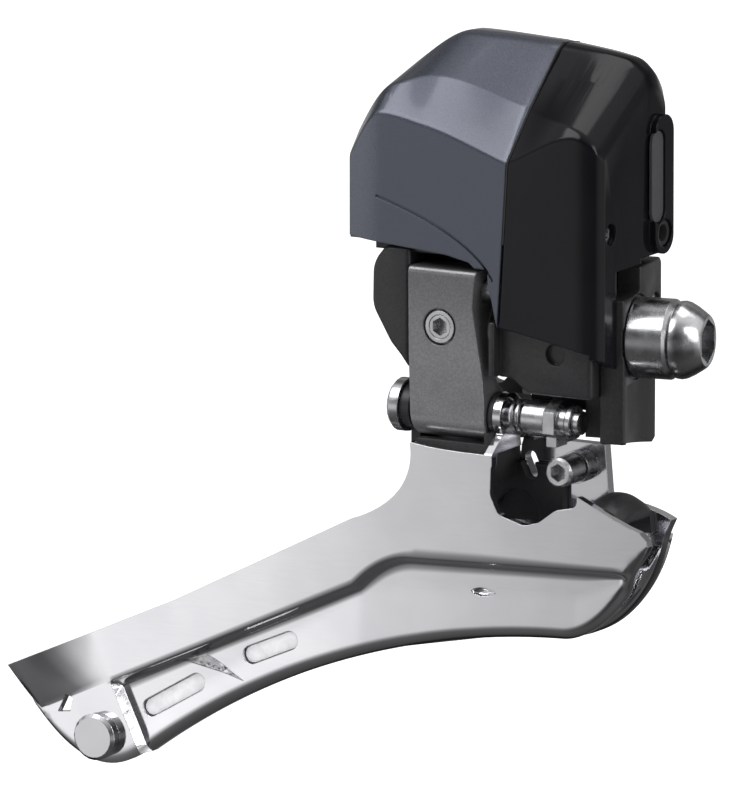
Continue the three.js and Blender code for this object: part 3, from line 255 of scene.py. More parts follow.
# ---------------------------------------------------------------- mesh helpers

SHARP_DEGREES = 32
CLEARANCE = 0.05
WELD_DISTANCE = 0.0005
TINY = 1e-9


def mesh_object(name, vertices, faces, sharp=SHARP_DEGREES):
    mesh = bpy.data.meshes.new(name)
    mesh.from_pydata([tuple(MM * c for c in v) for v in vertices], [], faces)
    mesh.validate()
    made = bpy.data.objects.new(name, mesh)
    bpy.context.scene.collection.objects.link(made)
    smooth(made, sharp)
    return made


def smooth(made, sharp=SHARP_DEGREES):
    made.data.shade_smooth()
    made.data.set_sharp_from_angle(angle=math.radians(sharp))


def applied(made):
    """Puts the result of an object's modifiers into its mesh."""
    graph = bpy.context.evaluated_depsgraph_get()
    result = bpy.data.meshes.new_from_object(made.evaluated_get(graph))
    made.modifiers.clear()
    made.data = result
    return made


def combine(made, others, operation):
    """Joins, cuts or intersects a solid with others, which are used up."""
    for other in others:
        modifier = made.modifiers.new("combine", "BOOLEAN")
        modifier.operation = operation
        modifier.solver = "MANIFOLD"
        modifier.object = other
        bpy.context.view_layer.update()
        applied(made)
        bpy.data.objects.remove(other)
    return made


def cut(made, *others):
    return combine(made, others, "DIFFERENCE")


def join(made, *others):
    return combine(made, others, "UNION")


def common(made, *others):
    return combine(made, others, "INTERSECT")


def beveled(made, radius, angle=35, segments=4):
    """Rounds the edges of a solid that are sharper than an angle."""
    modifier = made.modifiers.new("bevel", "BEVEL")
    modifier.width = radius * MM
    modifier.segments = segments
    modifier.limit_method = "ANGLE"
    modifier.angle_limit = math.radians(angle)
    modifier.use_clamp_overlap = True
    return applied(made)


def copy_of(made):
    twin = bpy.data.objects.new(made.name + "_copy", made.data.copy())
    bpy.context.scene.collection.objects.link(twin)
    return twin


def prism(outline, low, high, place):
    """An outline of pairs, extruded. place turns (u, v, w) into (x, y, z)."""
    area = sum(a[0] * b[1] - b[0] * a[1] for a, b in zip(outline, outline[1:] + outline[:1]))
    ring = outline if area > 0 else outline[::-1]
    count = len(ring)
    vertices = [place(u, v, low) for u, v in ring] + [place(u, v, high) for u, v in ring]
    faces = [tuple(range(count))[::-1], tuple(range(count, 2 * count))]
    for i in range(count):
        j = (i + 1) % count
        faces.append((i, j, count + j, count + i))
    return vertices, faces


def prism_x(outline, x0, x1):
    return mesh_object("prism", *prism(outline, x0, x1, lambda u, v, w: (w, u, v)))


def prism_z(outline, z0, z1):
    return mesh_object("prism", *prism(outline, z0, z1, lambda u, v, w: (u, v, w)))


def prism_y(outline, y0, y1):
    vertices, faces = prism(outline, y0, y1, lambda u, v, w: (u, w, v))
    return mesh_object("prism", vertices, [face[::-1] for face in faces])


def block(x0, x1, y0, y1, z0, z1):
    return prism_z([(x0, y0), (x1, y0), (x1, y1), (x0, y1)], z0, z1)


def ring_points(profile, axis, at, segments):
    """A turned profile of (radius, along) pairs that starts and ends on the axis."""
    vertices, faces = [], []
    x, y, z = at
    count = len(profile)
    for i in range(segments):
        angle = 2 * math.pi * i / segments
        c, s = math.cos(angle), math.sin(angle)
        for radius, along in profile:
            if axis == "x":
                vertices.append((x + along, y + radius * c, z + radius * s))
            elif axis == "y":
                vertices.append((x + radius * s, y + along, z + radius * c))
            else:
                vertices.append((x + radius * c, y + radius * s, z + along))
    for i in range(segments):
        j = (i + 1) % segments
        for k in range(count - 1):
            if profile[k][0] < TINY and profile[k + 1][0] < TINY:
                continue
            a, b = i * count + k, i * count + k + 1
            c, d = j * count + k + 1, j * count + k
            faces.append((a, d, c, b))
    return vertices, faces


def turned(profile, axis, at, segments=64):
    made = mesh_object("turned", *ring_points(profile, axis, at, segments))
    weld(made)
    smooth(made)
    return made


def weld(made):
    modifier = made.modifiers.new("weld", "WELD")
    modifier.merge_threshold = WELD_DISTANCE * MM
    return applied(made)


def rod_x(radius, x0, x1, at):
    return turned([(0, x0), (radius, x0), (radius, x1), (0, x1)], "x", (0, *at))


def rod_y(radius, y0, y1, at):
    return turned([(0, y0), (radius, y0), (radius, y1), (0, y1)], "y", (at[0], 0, at[1]))


def rounded(points, radii, steps=6):
    """A closed polygon with each corner replaced by an arc that stays on its half of an edge."""
    made = []
    count = len(points)
    most = 0.49
    if not hasattr(radii, "__len__"):
        radii = [radii] * count
    for i, corner in enumerate(points):
        p, radius = Vector(corner), radii[i]
        before, after = Vector(points[i - 1]) - p, Vector(points[(i + 1) % count]) - p
        if radius <= 0:
            made.append(tuple(p))
            continue
        half = before.angle(after) / 2
        reach = min(radius / math.tan(half), most * before.length, most * after.length)
        radius = reach * math.tan(half)
        a, b = p + before.normalized() * reach, p + after.normalized() * reach
        inward = (before.normalized() + after.normalized()).normalized()
        centre = p + inward * (radius / math.sin(half))
        start, end = a - centre, b - centre
        turn = start.angle_signed(end) if start.length > TINY else 0.0
        for k in range(steps + 1):
            angle = -turn * k / steps
            c, s = math.cos(angle), math.sin(angle)
            made.append((centre.x + c * start.x - s * start.y, centre.y + s * start.x + c * start.y))
    return made


def rounded_at(points, radii):
    """Like rounded, with radii only for the corners that are named by their index."""
    return rounded(points, [radii.get(i, 0) for i in range(len(points))], 8)


def dogbone(a, radius_a, b, radius_b, steps):
    """Two circles and the tangents that join them."""
    along = math.atan2(b[1] - a[1], b[0] - a[0])
    lean = math.acos((radius_a - radius_b) / math.hypot(b[0] - a[0], b[1] - a[1]))
    points = []
    for i in range(steps + 1):
        angle = along + lean + (2 * math.pi - 2 * lean) * i / steps
        points.append((a[0] + radius_a * math.cos(angle), a[1] + radius_a * math.sin(angle)))
    for i in range(steps + 1):
        angle = along - lean + 2 * lean * i / steps
        points.append((b[0] + radius_b * math.cos(angle), b[1] + radius_b * math.sin(angle)))
    return points


def slot(ends, radius, steps=16):
    """A straight slot with round ends."""
    return dogbone(ends[0], radius, ends[1], radius, steps)


def skin(rows):
    """A solid over closed rings of points, with flat ends."""
    count = len(rows[0])
    vertices = [p for row in rows for p in row]
    faces = []
    for i in range(len(rows) - 1):
        for j in range(count):
            a, b = i * count + j, i * count + (j + 1) % count
            faces.append((a, a + count, b + count, b))
    faces.append(tuple(range(count)))
    last = (len(rows) - 1) * count
    faces.append(tuple(last + j for j in range(count))[::-1])
    return mesh_object("skin", vertices, faces)


def sheet(front, thickness):
    """A grid of points on the outboard face of a metal sheet, thickened inboard, as a solid."""
    rows, columns = len(front), len(front[0])
    side, end = columns - 1, rows - 1
    half = rows * columns
    vertices = [p for row in front for p in row]
    vertices += [(x, y + thickness, z) for row in front for x, y, z in row]
    faces = []

    def at(i, j):
        return i * columns + j

    for i in range(end):
        for j in range(side):
            quad = (at(i, j), at(i, j + 1), at(i + 1, j + 1), at(i + 1, j))
            faces.append(quad[::-1])
            faces.append(tuple(half + k for k in quad))
        faces.append((at(i, 0), at(i + 1, 0), half + at(i + 1, 0), half + at(i, 0))[::-1])
        faces.append((at(i, side), at(i + 1, side), half + at(i + 1, side), half + at(i, side)))
    for j in range(side):
        faces.append((at(0, j), at(0, j + 1), half + at(0, j + 1), half + at(0, j)))
        faces.append((at(end, j), at(end, j + 1), half + at(end, j + 1), half + at(end, j))[::-1])
    return weld(mesh_object("sheet", vertices, faces))


def dress(made, look):
    made.data.materials.clear()
    made.data.materials.append(LOOKS[look])


def stands_for(made, node, body, look, sharp=SHARP_DEGREES):
    """The finished piece takes the place of a CAD node."""
    smooth(made, sharp)
    made.name = node + "_look"
    dress(made, look)
    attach(made, body)
    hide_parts(node)
    return made


def mix(a, b, t):
    return a + (b - a) * t


def arc(centre, radius, start, end, steps):
    angles = [math.radians(mix(start, end, k / steps)) for k in range(steps + 1)]
    return [(centre[0] + radius * math.cos(a), centre[1] + radius * math.sin(a)) for a in angles]


def smoothstep(t):
    """Rises from 0 to 1 while t does, level at both ends."""
    k = min(1.0, max(0.0, t))
    return k * k * (3 - 2 * k)


def bezier(a, b, c):
    return lambda t: tuple((1 - t) ** 2 * a[k] + 2 * t * (1 - t) * b[k] + t * t * c[k] for k in (0, 1))


def line(a, b):
    return lambda t: (mix(a[0], b[0], t), mix(a[1], b[1], t))


def level(share):
    return lambda t: share


def points_on(curve, steps):
    return [curve(k / steps) for k in range(steps + 1)]


# ---------------------------------------------------------------- cage plates

OUTER_UPPER = (-7, 5.4)
OUTER_LOWER = (-7, -10.2)
INNER_UPPER = (3, 3.4)
INNER_LOWER = (3, -12.2)
RING_RADIUS = 107.6
RING_CENTRE = (-1.3, -144.9)
TAIL_SLOPE = 0.507
TAIL_LIFT = 0.06
TAIL_LIFT_X = -60
TAIL_LIP = 2.4
FIELD_REAR = (-65.4, -58.1)
NECK_FOOT = (-34.6, -24.6)
NECK_BEND = (-25, -21.3)
NECK_REAR = (-25.9, -13.9)
NECK_FRONT = (-14.2, -14.5)
NOSE_FOOT = (5.9, -27.6)
NOSE_REAR = (-1.6, -18.7)
NOSE_TOP = (3.4, -21)
CAGE_OUTER_Y = -12.0
PLATE_THICKNESS = 1.2
INNER_PLATE_Y = -2.6
INNER_PLATE_THICKNESS = 1.5
INNER_TOP_DROP = 1.4
LEDGE = ((-34, -33.4), (-26, -29.2), (6, -28))
LEDGE_TAIL_SLOPE = 0.456
LEDGE_DEPTH = 1.6
LEDGE_HALF = 0.65
INNER_LEDGE_DEPTH = 0.9
INNER_LEDGE_HALF = 0.9
LEDGE_HALF_SHARE = 0.09
EDGE_ROLL = 1.0
EDGE_ROLL_WIDTH = 1.5
INNER_EDGE_ROLL = 0.8
INNER_ROLL_SHARE = 0.06
CREASE = [(-90, -70), (-34, -34), (-18, -32.7), (-3, -32.1), (4.5, -28.8), (20, -20)]
CREASE_BELOW_LEDGE = 0.4
CREASE_LEAN = 0.045
CREASE_SOFTNESS = 0.2
TAIL_PIN = (-71.4, -56.3)
TAIL_PIN_HOLE = 1.3
TAIL_NOTCH = [(-77.4, -53.8), (-76.2, -51.4), (-75.2, -51.8), (-75.6, -53.6)]
TAIL_FLARE = 3.0
REAR_WINDOW = ((-64.6, -52.2), (-57.9, -48.3))
FRONT_WINDOW = ((-49.9, -43.9), (-44.3, -41.5))
WINDOW_RADIUS = 1.2
EAR_X = (-15.25, -14.15)
EAR_RADIUS = 2.9
PIN_RADIUS = 1.5
SHAFT_RADIUS = 1.5
INNER_SLOT = ((-13.8, -16.2), (-13, -17.9))
INNER_SLOT_RADIUS = 0.8
DIMPLE = [(0, -1.8), (0.3, -1.4), (0.55, -0.5), (0.5, 0.3), (0.25, 1.3), (0, 1.8)]
DIMPLE_AT = (-16.2, -32.4)
GROOVE_MOUTH = ((-61, -45.7), (-55.6, -43.8), (-49.4, -47.7))
GROOVE_FLOOR = ((-58.4, -45.5), (-57.2, -45.1), (-53, -46.9))
GROOVE_REACH = 0.7
INNER_RIVETS = ((-24.4, -17.2), (-17, -17.2))
INNER_RIVET_HOLE = 1.05
LIMIT_SCREW = (-6.2, -16.4)
LIMIT_SCREW_HOLE = 1.25
NOTCH = [(-14.15, -13), (-14.4, -19.6), (-13.3, -21.9), (-9.6, -23)]
NOTCH += [(-7.4, -22.4), (-5, -20.6), (-1.9, -19.9), (-1.9, -13)]
NOTCH_RADII = [0, 1.5, 1.5, 2, 2, 2, 1, 0]


def ring_point(x, drop=0.0):
    """A point on the lower edge, which is cut to the chainring."""
    radius = RING_RADIUS - drop
    return (x, RING_CENTRE[1] + math.sqrt(radius**2 - (x - RING_CENTRE[0]) ** 2))


def tail_top(x):
    return (x, NECK_FOOT[1] + TAIL_SLOPE * (x - NECK_FOOT[0]) + TAIL_LIFT * max(0, TAIL_LIFT_X - x))


def ledge_height(x):
    """Height of the ledge between the raised band of a plate and the field below it."""
    (x0, z0), (x1, z1), (x2, z2) = LEDGE
    if x < x0:
        return z0 + LEDGE_TAIL_SLOPE * (x - x0)
    if x < x1:
        return mix(z0, z1, 1 - (1 - (x - x0) / (x1 - x0)) ** 2)
    return mix(z1, z2, (x - x1) / (x2 - x1))


def crease_height(x):
    """Below this soft crease the recessed field of the outer plate leans a little outboard."""
    for a, b in zip(CREASE, CREASE[1:]):
        if x <= b[0]:
            return mix(a[1], b[1], (x - a[0]) / (b[0] - a[0]))
    return CREASE[-1][1]


def crease_lean(x, z):
    """How far outboard the field leans at a point below the crease."""
    below = min(crease_height(x), ledge_height(x) - CREASE_BELOW_LEDGE) - z
    return CREASE_LEAN * (math.sqrt(below**2 + CREASE_SOFTNESS**2) + below) / 2


def ledge_share(lower, upper):
    """How far up a rib, from its lower to its upper end, the ledge lies."""
    low, high = 0.0, 1.0
    for _ in range(24):
        middle = (low + high) / 2
        if mix(lower[1], upper[1], middle) < ledge_height(mix(lower[0], upper[0], middle)):
            low = middle
        else:
            high = middle
    return low


def spans(pieces):
    """Ribs across a plate: each piece is (steps, lower edge, upper edge, share of the ledge)."""
    ribs = []
    for steps, lower, upper, ledge in pieces:
        for i in range(steps):
            t = i / steps
            ribs.append((lower(t), upper(t), ledge(t)))
    return ribs


def outer_ribs():
    """Ribs of the outer plate, from the tail over the neck to the tip of the nose."""
    def ring(start, end):
        return lambda t: ring_point(mix(start, end, t))

    def tail(start, end):
        return lambda t: tail_top(mix(start, end, t))

    def fading(t):
        return 1 - smoothstep((t - 0.8) / 0.2)

    ribs = spans(
        [
            (20, bezier((-80.6, -53.6), (-72.5, -63), FIELD_REAR), tail(-83.4, -72.6), level(0)),
            (3, line(FIELD_REAR, ring_point(-64.8)), tail(-72.6, -72.1), lambda t: t),
            (60, ring(-64.8, -28.5), tail(-72.1, -34.6), level(1)),
            (30, ring(-28.5, -24.5), bezier(NECK_FOOT, NECK_BEND, NECK_REAR), level(1)),
            (16, ring(-24.5, -17.5), bezier(NECK_REAR, (-22, -14.6), NECK_FRONT), level(1)),
            (18, ring(-17.5, -5), line(NECK_FRONT, NOSE_REAR), level(1)),
            (40, bezier(ring_point(-5), (0.5, -37), NOSE_FOOT), line(NOSE_REAR, NOSE_TOP), fading),
        ]
    )
    nose = [(NOSE_FOOT, NOSE_TOP), ((6.9, -26.2), (5.4, -21.8)), ((7.8, -24.9), (7, -22.3))]
    nose.append(((8.2, -24), (8, -23.2)))
    return ribs + [(lower, upper, 0) for lower, upper in nose]


def outer_face():
    """The outboard face of the outer plate: rolled edge, field, ledge, band and the flare of the tail."""
    grid = []
    for lower, upper, ledge in outer_ribs():
        length = math.hypot(upper[0] - lower[0], upper[1] - lower[1])
        step = min(0.9, max(0.12, ledge_share(lower, upper)))
        half = min(LEDGE_HALF / length, LEDGE_HALF_SHARE)
        depth = LEDGE_DEPTH * ledge
        roll = EDGE_ROLL * mix(0.35, 1, ledge)
        roll_width = min(EDGE_ROLL_WIDTH, 0.25 * length)
        flare = TAIL_LIP * smoothstep((-lower[0] - 64) / 15)
        reach = min(2.4 / length, 0.5 * (step - half))
        shares = [reach * k for k in (0, 0.06, 0.14, 0.25, 0.38, 0.54, 0.75, 1)]
        shares += [mix(reach, step - half, k / 8) for k in range(1, 8)]
        shares += [step - half + 2 * half * k / 12 for k in range(13)]
        shares += [mix(step + half, 1, k / 12) for k in range(1, 13)]
        row = []
        for share in shares:
            x, z = mix(lower[0], upper[0], share), mix(lower[1], upper[1], share)
            inset = roll * max(0.0, 1 - share * length / roll_width) ** 2.2
            inset += depth * (1 - smoothstep((share - step + half) / (2 * half)))
            inset -= ledge * crease_lean(x, z)
            if share > step + half:
                inset -= flare * ((share - step - half) / (1 - step - half)) ** 0.9
            row.append((x, CAGE_OUTER_Y + inset, z))
        grid.append(row)
    return grid


def through_outer(outline):
    return prism_y(outline, -18, -6)


def through_inner(radius, at):
    return rod_y(radius, -6, 6, at)


def folded_ear():
    """The ear folded inboard off the band, round the lower pivot of the outer link."""
    y = OUTER_LOWER[0]
    outline = [(CAGE_OUTER_Y, -16), (CAGE_OUTER_Y, NECK_FRONT[1])]
    outline += arc(OUTER_LOWER, EAR_RADIUS, 225, -45, 48)
    back = CAGE_OUTER_Y + PLATE_THICKNESS
    outline += [(y + 2.6, -14.4), (back + 0.3, -14.5), (back, -16)]
    return prism_x(rounded_at(outline, {1: 0.6, 2: 0.8}), *EAR_X)


def outer_plate():
    made = sheet(outer_face(), PLATE_THICKNESS)
    field = CAGE_OUTER_Y + LEDGE_DEPTH
    mouth = [(x, field - GROOVE_REACH, z) for x, z in GROOVE_MOUTH]
    floor = [(x, field + GROOVE_REACH, z) for x, z in GROOVE_FLOOR]
    cut(made, skin([mouth, floor]), through_outer(rounded(NOTCH, NOTCH_RADII, 8)))
    join(made, folded_ear())
    cut(
        made,
        turned(DIMPLE, "x", (DIMPLE_AT[0], field, DIMPLE_AT[1]), 32),
        rod_x(PIN_RADIUS + CLEARANCE, -40, 0, OUTER_LOWER),
        through_outer(slot(REAR_WINDOW, WINDOW_RADIUS)),
        through_outer(slot(FRONT_WINDOW, WINDOW_RADIUS)),
        through_outer(TAIL_NOTCH),
        rod_y(TAIL_PIN_HOLE, -18, -6, TAIL_PIN),
    )
    return stands_for(made, "cage_outer_plate", "cage", "plate", 24)


def inner_ribs():
    def foot(x):
        return ring_point(x, 1 - 3.6 * smoothstep((-22 - x) / 44))

    def feet(start, end):
        return lambda t: foot(mix(start, end, t))

    def top(x):
        return (x, tail_top(x)[1] - INNER_TOP_DROP)

    def tops(start, end):
        return lambda t: top(mix(start, end, t))

    def fading(t):
        return 1 - smoothstep((t - 0.4) / 0.5)

    tip_low, tip_high = (5.4, -24.4), (6.4, -22.3)
    nose_low = bezier(foot(-7), (2.6, -36.4), tip_low)
    nose_high = bezier((-2.6, -20.4), (3, -20.6), tip_high)
    return spans(
        [
            (14, bezier((-76, -56.5), (-72.5, -62), foot(-66)), tops(-77.5, -70), level(0)),
            (50, feet(-66, -29), tops(-70, -33), level(1)),
            (14, feet(-29, -25), bezier(top(-33), (-29, -21.5), (-28, -15.9)), level(1)),
            (16, feet(-25, -17.1), line((-28, -15.9), (-15.3, -15.9)), level(1)),
            (2, feet(-17, -16.6), line((-15.2, -15.9), (-15.1, -13.6)), level(1)),
            (20, feet(-16, -8), line((-14.8, -13.6), (-3.3, -13.6)), level(1)),
            (1, feet(-7.8, -7.8), level((-3.2, -13.6)), level(1)),
            (30, nose_low, nose_high, fading),
        ]
    ) + [(tip_low, tip_high, 0)]


def inner_face():
    """The outboard face of the inner plate, which flares inboard towards the tail."""
    grid = []
    for lower, upper, ledge in inner_ribs():
        length = math.hypot(upper[0] - lower[0], upper[1] - lower[1])
        step = min(0.75, max(0.3, ledge_share(lower, upper)))
        half = min(INNER_LEDGE_HALF / length, LEDGE_HALF_SHARE)
        depth = -INNER_LEDGE_DEPTH * ledge
        spread = TAIL_FLARE * smoothstep((-lower[0] - 44) / 24)
        shares = [0, 0.02, 0.04] + [mix(INNER_ROLL_SHARE, step - half, k / 6) for k in range(6)]
        shares += [step - half + 2 * half * k / 8 for k in range(9)]
        shares += [mix(step + half, 1, k / 6) for k in range(1, 7)]
        row = []
        for share in shares:
            x, z = mix(lower[0], upper[0], share), mix(lower[1], upper[1], share)
            inset = spread + INNER_EDGE_ROLL * max(0.0, 1 - share / INNER_ROLL_SHARE) ** 1.8
            inset += depth * (1 - smoothstep((share - step + half) / (2 * half)))
            row.append((x, INNER_PLATE_Y + inset, z))
        grid.append(row)
    return grid


def inner_plate():
    made = sheet(inner_face(), INNER_PLATE_THICKNESS)
    cut(
        made,
        prism_y(slot(INNER_SLOT, INNER_SLOT_RADIUS), -6, 4),
        through_inner(TAIL_PIN_HOLE, TAIL_PIN),
        through_inner(LIMIT_SCREW_HOLE, LIMIT_SCREW),
        *[through_inner(INNER_RIVET_HOLE, centre) for centre in INNER_RIVETS],
    )
    return stands_for(made, "cage_inner_plate", "cage", "plate", 38)


# ---------------------------------------------------------------- motor unit shells

SEAM_X = -13.3
BROW_X = -3.2
# Across the unit at one X: the top from outboard to inboard, then the two ends of its foot.
SECTIONS = [
    (-37.3, [(-6.6, 19), (-4.6, 21), (0, 22), (4, 21.6), (5.6, 19.6)], (-6.6, 5.6)),
    (-36.2, [(-9.3, 21.4), (-6.6, 24.4), (0, 26.2), (5, 25.7), (7.2, 23.4)], (-9.3, 7.2)),
    (-31.4, [(-10, 27.2), (-7, 30.4), (0.6, 32.6), (5.8, 32), (8, 29.8)], (-10, 8)),
    (-25, [(-10, 26.2), (-5.2, 31.7), (1.6, 36.5), (6, 36.2), (8, 34)], (-10, 8)),
    (SEAM_X, [(-10, 22.4), (-5, 28.8), (2, 36.2), (6.3, 35.7), (8, 33.6)], (-10, 8)),
    (BROW_X, [(-10, 26.4), (-9.4, 27.2), (3, 34.9), (6.2, 34.3), (8, 32.2)], (-10, 8)),
    (-0.9, [(-9.5, 25), (-8.9, 25.7), (3.2, 33.2), (6, 32.6), (7.7, 30.6)], (-9.5, 7.7)),
    (0, [(-8.4, 23.6), (-7.8, 24.2), (3.4, 31.2), (5.6, 30.6), (7, 28.8)], (-8.4, 7)),
]
UNIT_BOTTOM = -9.0
UNIT_TOP = 38
SHELL_WALL = 1.3
CORNER_RADII = [0, 1.4, 1.8, 3.2, 2.2, 2.6, 0]
SEAM = [(-14.4, 1.4), (-14.1, 6), (-13.1, 22.4), (-12.4, 29), (-11.8, UNIT_TOP)]
SEAM_GAP = 0.2
SHAFT_ROOM = 2.5
HUB_ROOM = 4.4
COVER_EDGE = [(-40, 11.6), (-35, 11), (-30, 10.6), (-22, 10), (-18.6, 9.3), (-16.6, 7.6), (-15.4, 5)]
COVER_LINE = ((-32, 16.6), (-18, 12.6), (-15.2, 7.2))
COVER_LINE_HALF = (0.07, 0.14)
BLIND_HOLE = (-7.05, -1.6)
FRONT_SCREW = (-6.9, 14.1)
FRONT_SCREW_HOLE = 0.85
FRONT_SCREW_ROOM = 1.35
PORT = (5.5, 12.4)
PORT_RADIUS = 1.75
PORT_LOBE = ((5.3, 12.1), (5.3, 25.2))
PORT_LOBE_RADIUS = 2.3
LID = ((3.9, 15.4), (3.9, 24.2))
LID_RADIUS = 1.55
BRACKET_THICKNESS = 3.2


def monotone(xs, ys, x):
    """Monotone cubic through the points, so that a section never bulges past its neighbours.

    It has a corner at the seam between the two shells.
    """
    n = len(xs)
    slope = [(ys[i + 1] - ys[i]) / (xs[i + 1] - xs[i]) for i in range(n - 1)]
    tangent = [slope[0]] + [0.0] * (n - 2) + [slope[-1]]
    for i in range(1, n - 1):
        if slope[i - 1] * slope[i] > 0:
            tangent[i] = 2 * slope[i - 1] * slope[i] / (slope[i - 1] + slope[i])
    i = sum(1 for v in xs[1:-1] if x >= v)
    if SEAM_X in (xs[i], xs[i + 1]):
        tangent[xs.index(SEAM_X)] = slope[i]
    h = xs[i + 1] - xs[i]
    t = (x - xs[i]) / h
    return (
        (2 * t**3 - 3 * t**2 + 1) * ys[i]
        + (t**3 - 2 * t**2 + t) * h * tangent[i]
        + (-2 * t**3 + 3 * t**2) * ys[i + 1]
        + (t**3 - t**2) * h * tangent[i + 1]
    )


SECTION_XS = [x for x, _, _ in SECTIONS]
SECTION_POINTS = [
    [(outboard, UNIT_BOTTOM), *top, (inboard, UNIT_BOTTOM)] for _, top, (outboard, inboard) in SECTIONS
]


def section_at(x):
    """The outline across the unit, between the given sections."""
    return [
        tuple(monotone(SECTION_XS, [point[k] for point in same], x) for k in (0, 1))
        for same in zip(*SECTION_POINTS)
    ]


def inset_open(points, inset):
    """Moves an open polygon inwards. Its ends go down, so that a hollow cut with it is open below."""
    drop = 3
    (first_y, first_z), (last_y, last_z) = points[0], points[-1]
    moved = [(first_y + inset, first_z - drop)]
    for before, (y, z), after in zip(points, points[1:], points[2:]):
        normals = []
        for a, b in ((before, (y, z)), ((y, z), after)):
            length = math.hypot(b[0] - a[0], b[1] - a[1])
            normals.append((-(b[1] - a[1]) / length, (b[0] - a[0]) / length))
        total = (normals[0][0] + normals[1][0], normals[0][1] + normals[1][1])
        scale = inset / (0.5 * (total[0] ** 2 + total[1] ** 2))
        moved.append((y - total[0] * scale, z - total[1] * scale))
    return moved + [(last_y - inset, last_z - drop)]


def shell_solid():
    """Both shells of the unit in one piece, hollow and open below."""
    rear, shoulder = SECTION_XS[:2]
    outer_xs = [rear, rear + 0.1, rear + 0.3, rear + 0.6]
    outer_xs += [mix(shoulder, SEAM_X, k / 40) for k in range(41)]
    outer_xs += [mix(SEAM_X, BROW_X, k / 24) for k in range(1, 25)]
    outer_xs += [-2.6, -2, -1.4, -0.9, -0.6, -0.3, -0.1, 0]
    inner_xs = [mix(shoulder + 0.7, -1.35, k / 40) for k in range(41)]
    outside, inside = [], []
    for x in outer_xs:
        outside.append([(x, y, z) for y, z in rounded(section_at(x), CORNER_RADII, 6)])
    for x in inner_xs:
        inner = inset_open(section_at(x), SHELL_WALL)
        inside.append([(x, y, z) for y, z in rounded(inner, CORNER_RADII, 5)])
    return cut(skin(outside), skin(inside))


def seam_line(shift):
    return [(x + shift, z) for x, z in SEAM]


def turned_block(x0, x1, y0, y1, z0, z1):
    made = block(x0, x1, y0, y1, z0, z1)
    made.data.transform(MOUNT_TURN)
    return made


def cover_line():
    """The thin curved line low on the outboard face of the cover, as a groove."""
    half_x, half_z = COVER_LINE_HALF
    path = points_on(bezier(*COVER_LINE), 24)
    outline = [(x - half_x, z - half_z) for x, z in path]
    outline += [(x + half_x, z + half_z) for x, z in path[::-1]]
    return prism_y(outline, -11, -9.75)


def shaft_hole():
    return rod_x(SHAFT_ROOM, -15.9, -9, OUTER_UPPER)


def motor_cover(shell):
    seam = seam_line(-SEAM_GAP)
    outboard = COVER_EDGE + seam + [(-40, 40)]
    inboard = [(-40, 10.6), (SEAM[1][0] - SEAM_GAP, 10.6)] + seam[2:] + [(-40, 40)]
    low = common(copy_of(shell), prism_y(outboard, -20, -8))
    made = join(common(copy_of(shell), prism_y(inboard, -8.001, 20)), low)
    cut(made, shaft_hole(), rod_x(HUB_ROOM, -28, -15.9, OUTER_UPPER), cover_line())
    return stands_for(made, "motor_cover", "unit", "cover_paint", 35)


def front_housing(shell):
    """The front shell, which takes up what is left of the shells after the cover."""
    seam = seam_line(SEAM_GAP)[::-1]
    outboard = seam + [(-8.3, 0.4), (0.2, -1.25), (1, -1.3), (1, UNIT_TOP)]
    inboard = seam[:-2] + [(SEAM[1][0] + SEAM_GAP + 0.5, 9.8), (1, 9.8), (1, UNIT_TOP)]
    made = common(copy_of(shell), prism_y(outboard, -20, -2))
    middle = common(copy_of(shell), block(-6, 1, -2.001, 0.9, -4.4, UNIT_TOP))
    apron = common(copy_of(shell), prism_x([(-10, -1.3), (-5, -3.4), (-5, 0), (-10, 0)], -1.6, 1))
    high = common(shell, prism_y(inboard, -2.1, 20))
    join(made, middle, high, apron, prism_x(slot(PORT_LOBE, PORT_LOBE_RADIUS, 24), -1.6, 0.9))
    cut(
        made,
        rod_x(FRONT_SCREW_ROOM, -6, 3, FRONT_SCREW),
        prism_x(slot(LID, LID_RADIUS, 24), 0.2, 2),
        rod_x(PORT_RADIUS, -3, 3, PORT),
        turned_block(-BRACKET_THICKNESS - 0.1, 20, -5.35, 30, -30, 9.1),
        shaft_hole(),
    )
    return stands_for(made, "front_housing", "unit", "gloss_black", 35)


# ---------------------------------------------------------------- link

LINK_BACK = -27.1
LINK_FRONT = -16.2
HUB_RADIUS = 3.4
LINK_TOP = 8.2
LINK_CORNER = 0.8
LINK_SCREW = (-22.6, 0.8)
LINK_SCREW_HOLE = 1.56
LINK_RING_HOLE = 2.35
RUNNING = 0.08


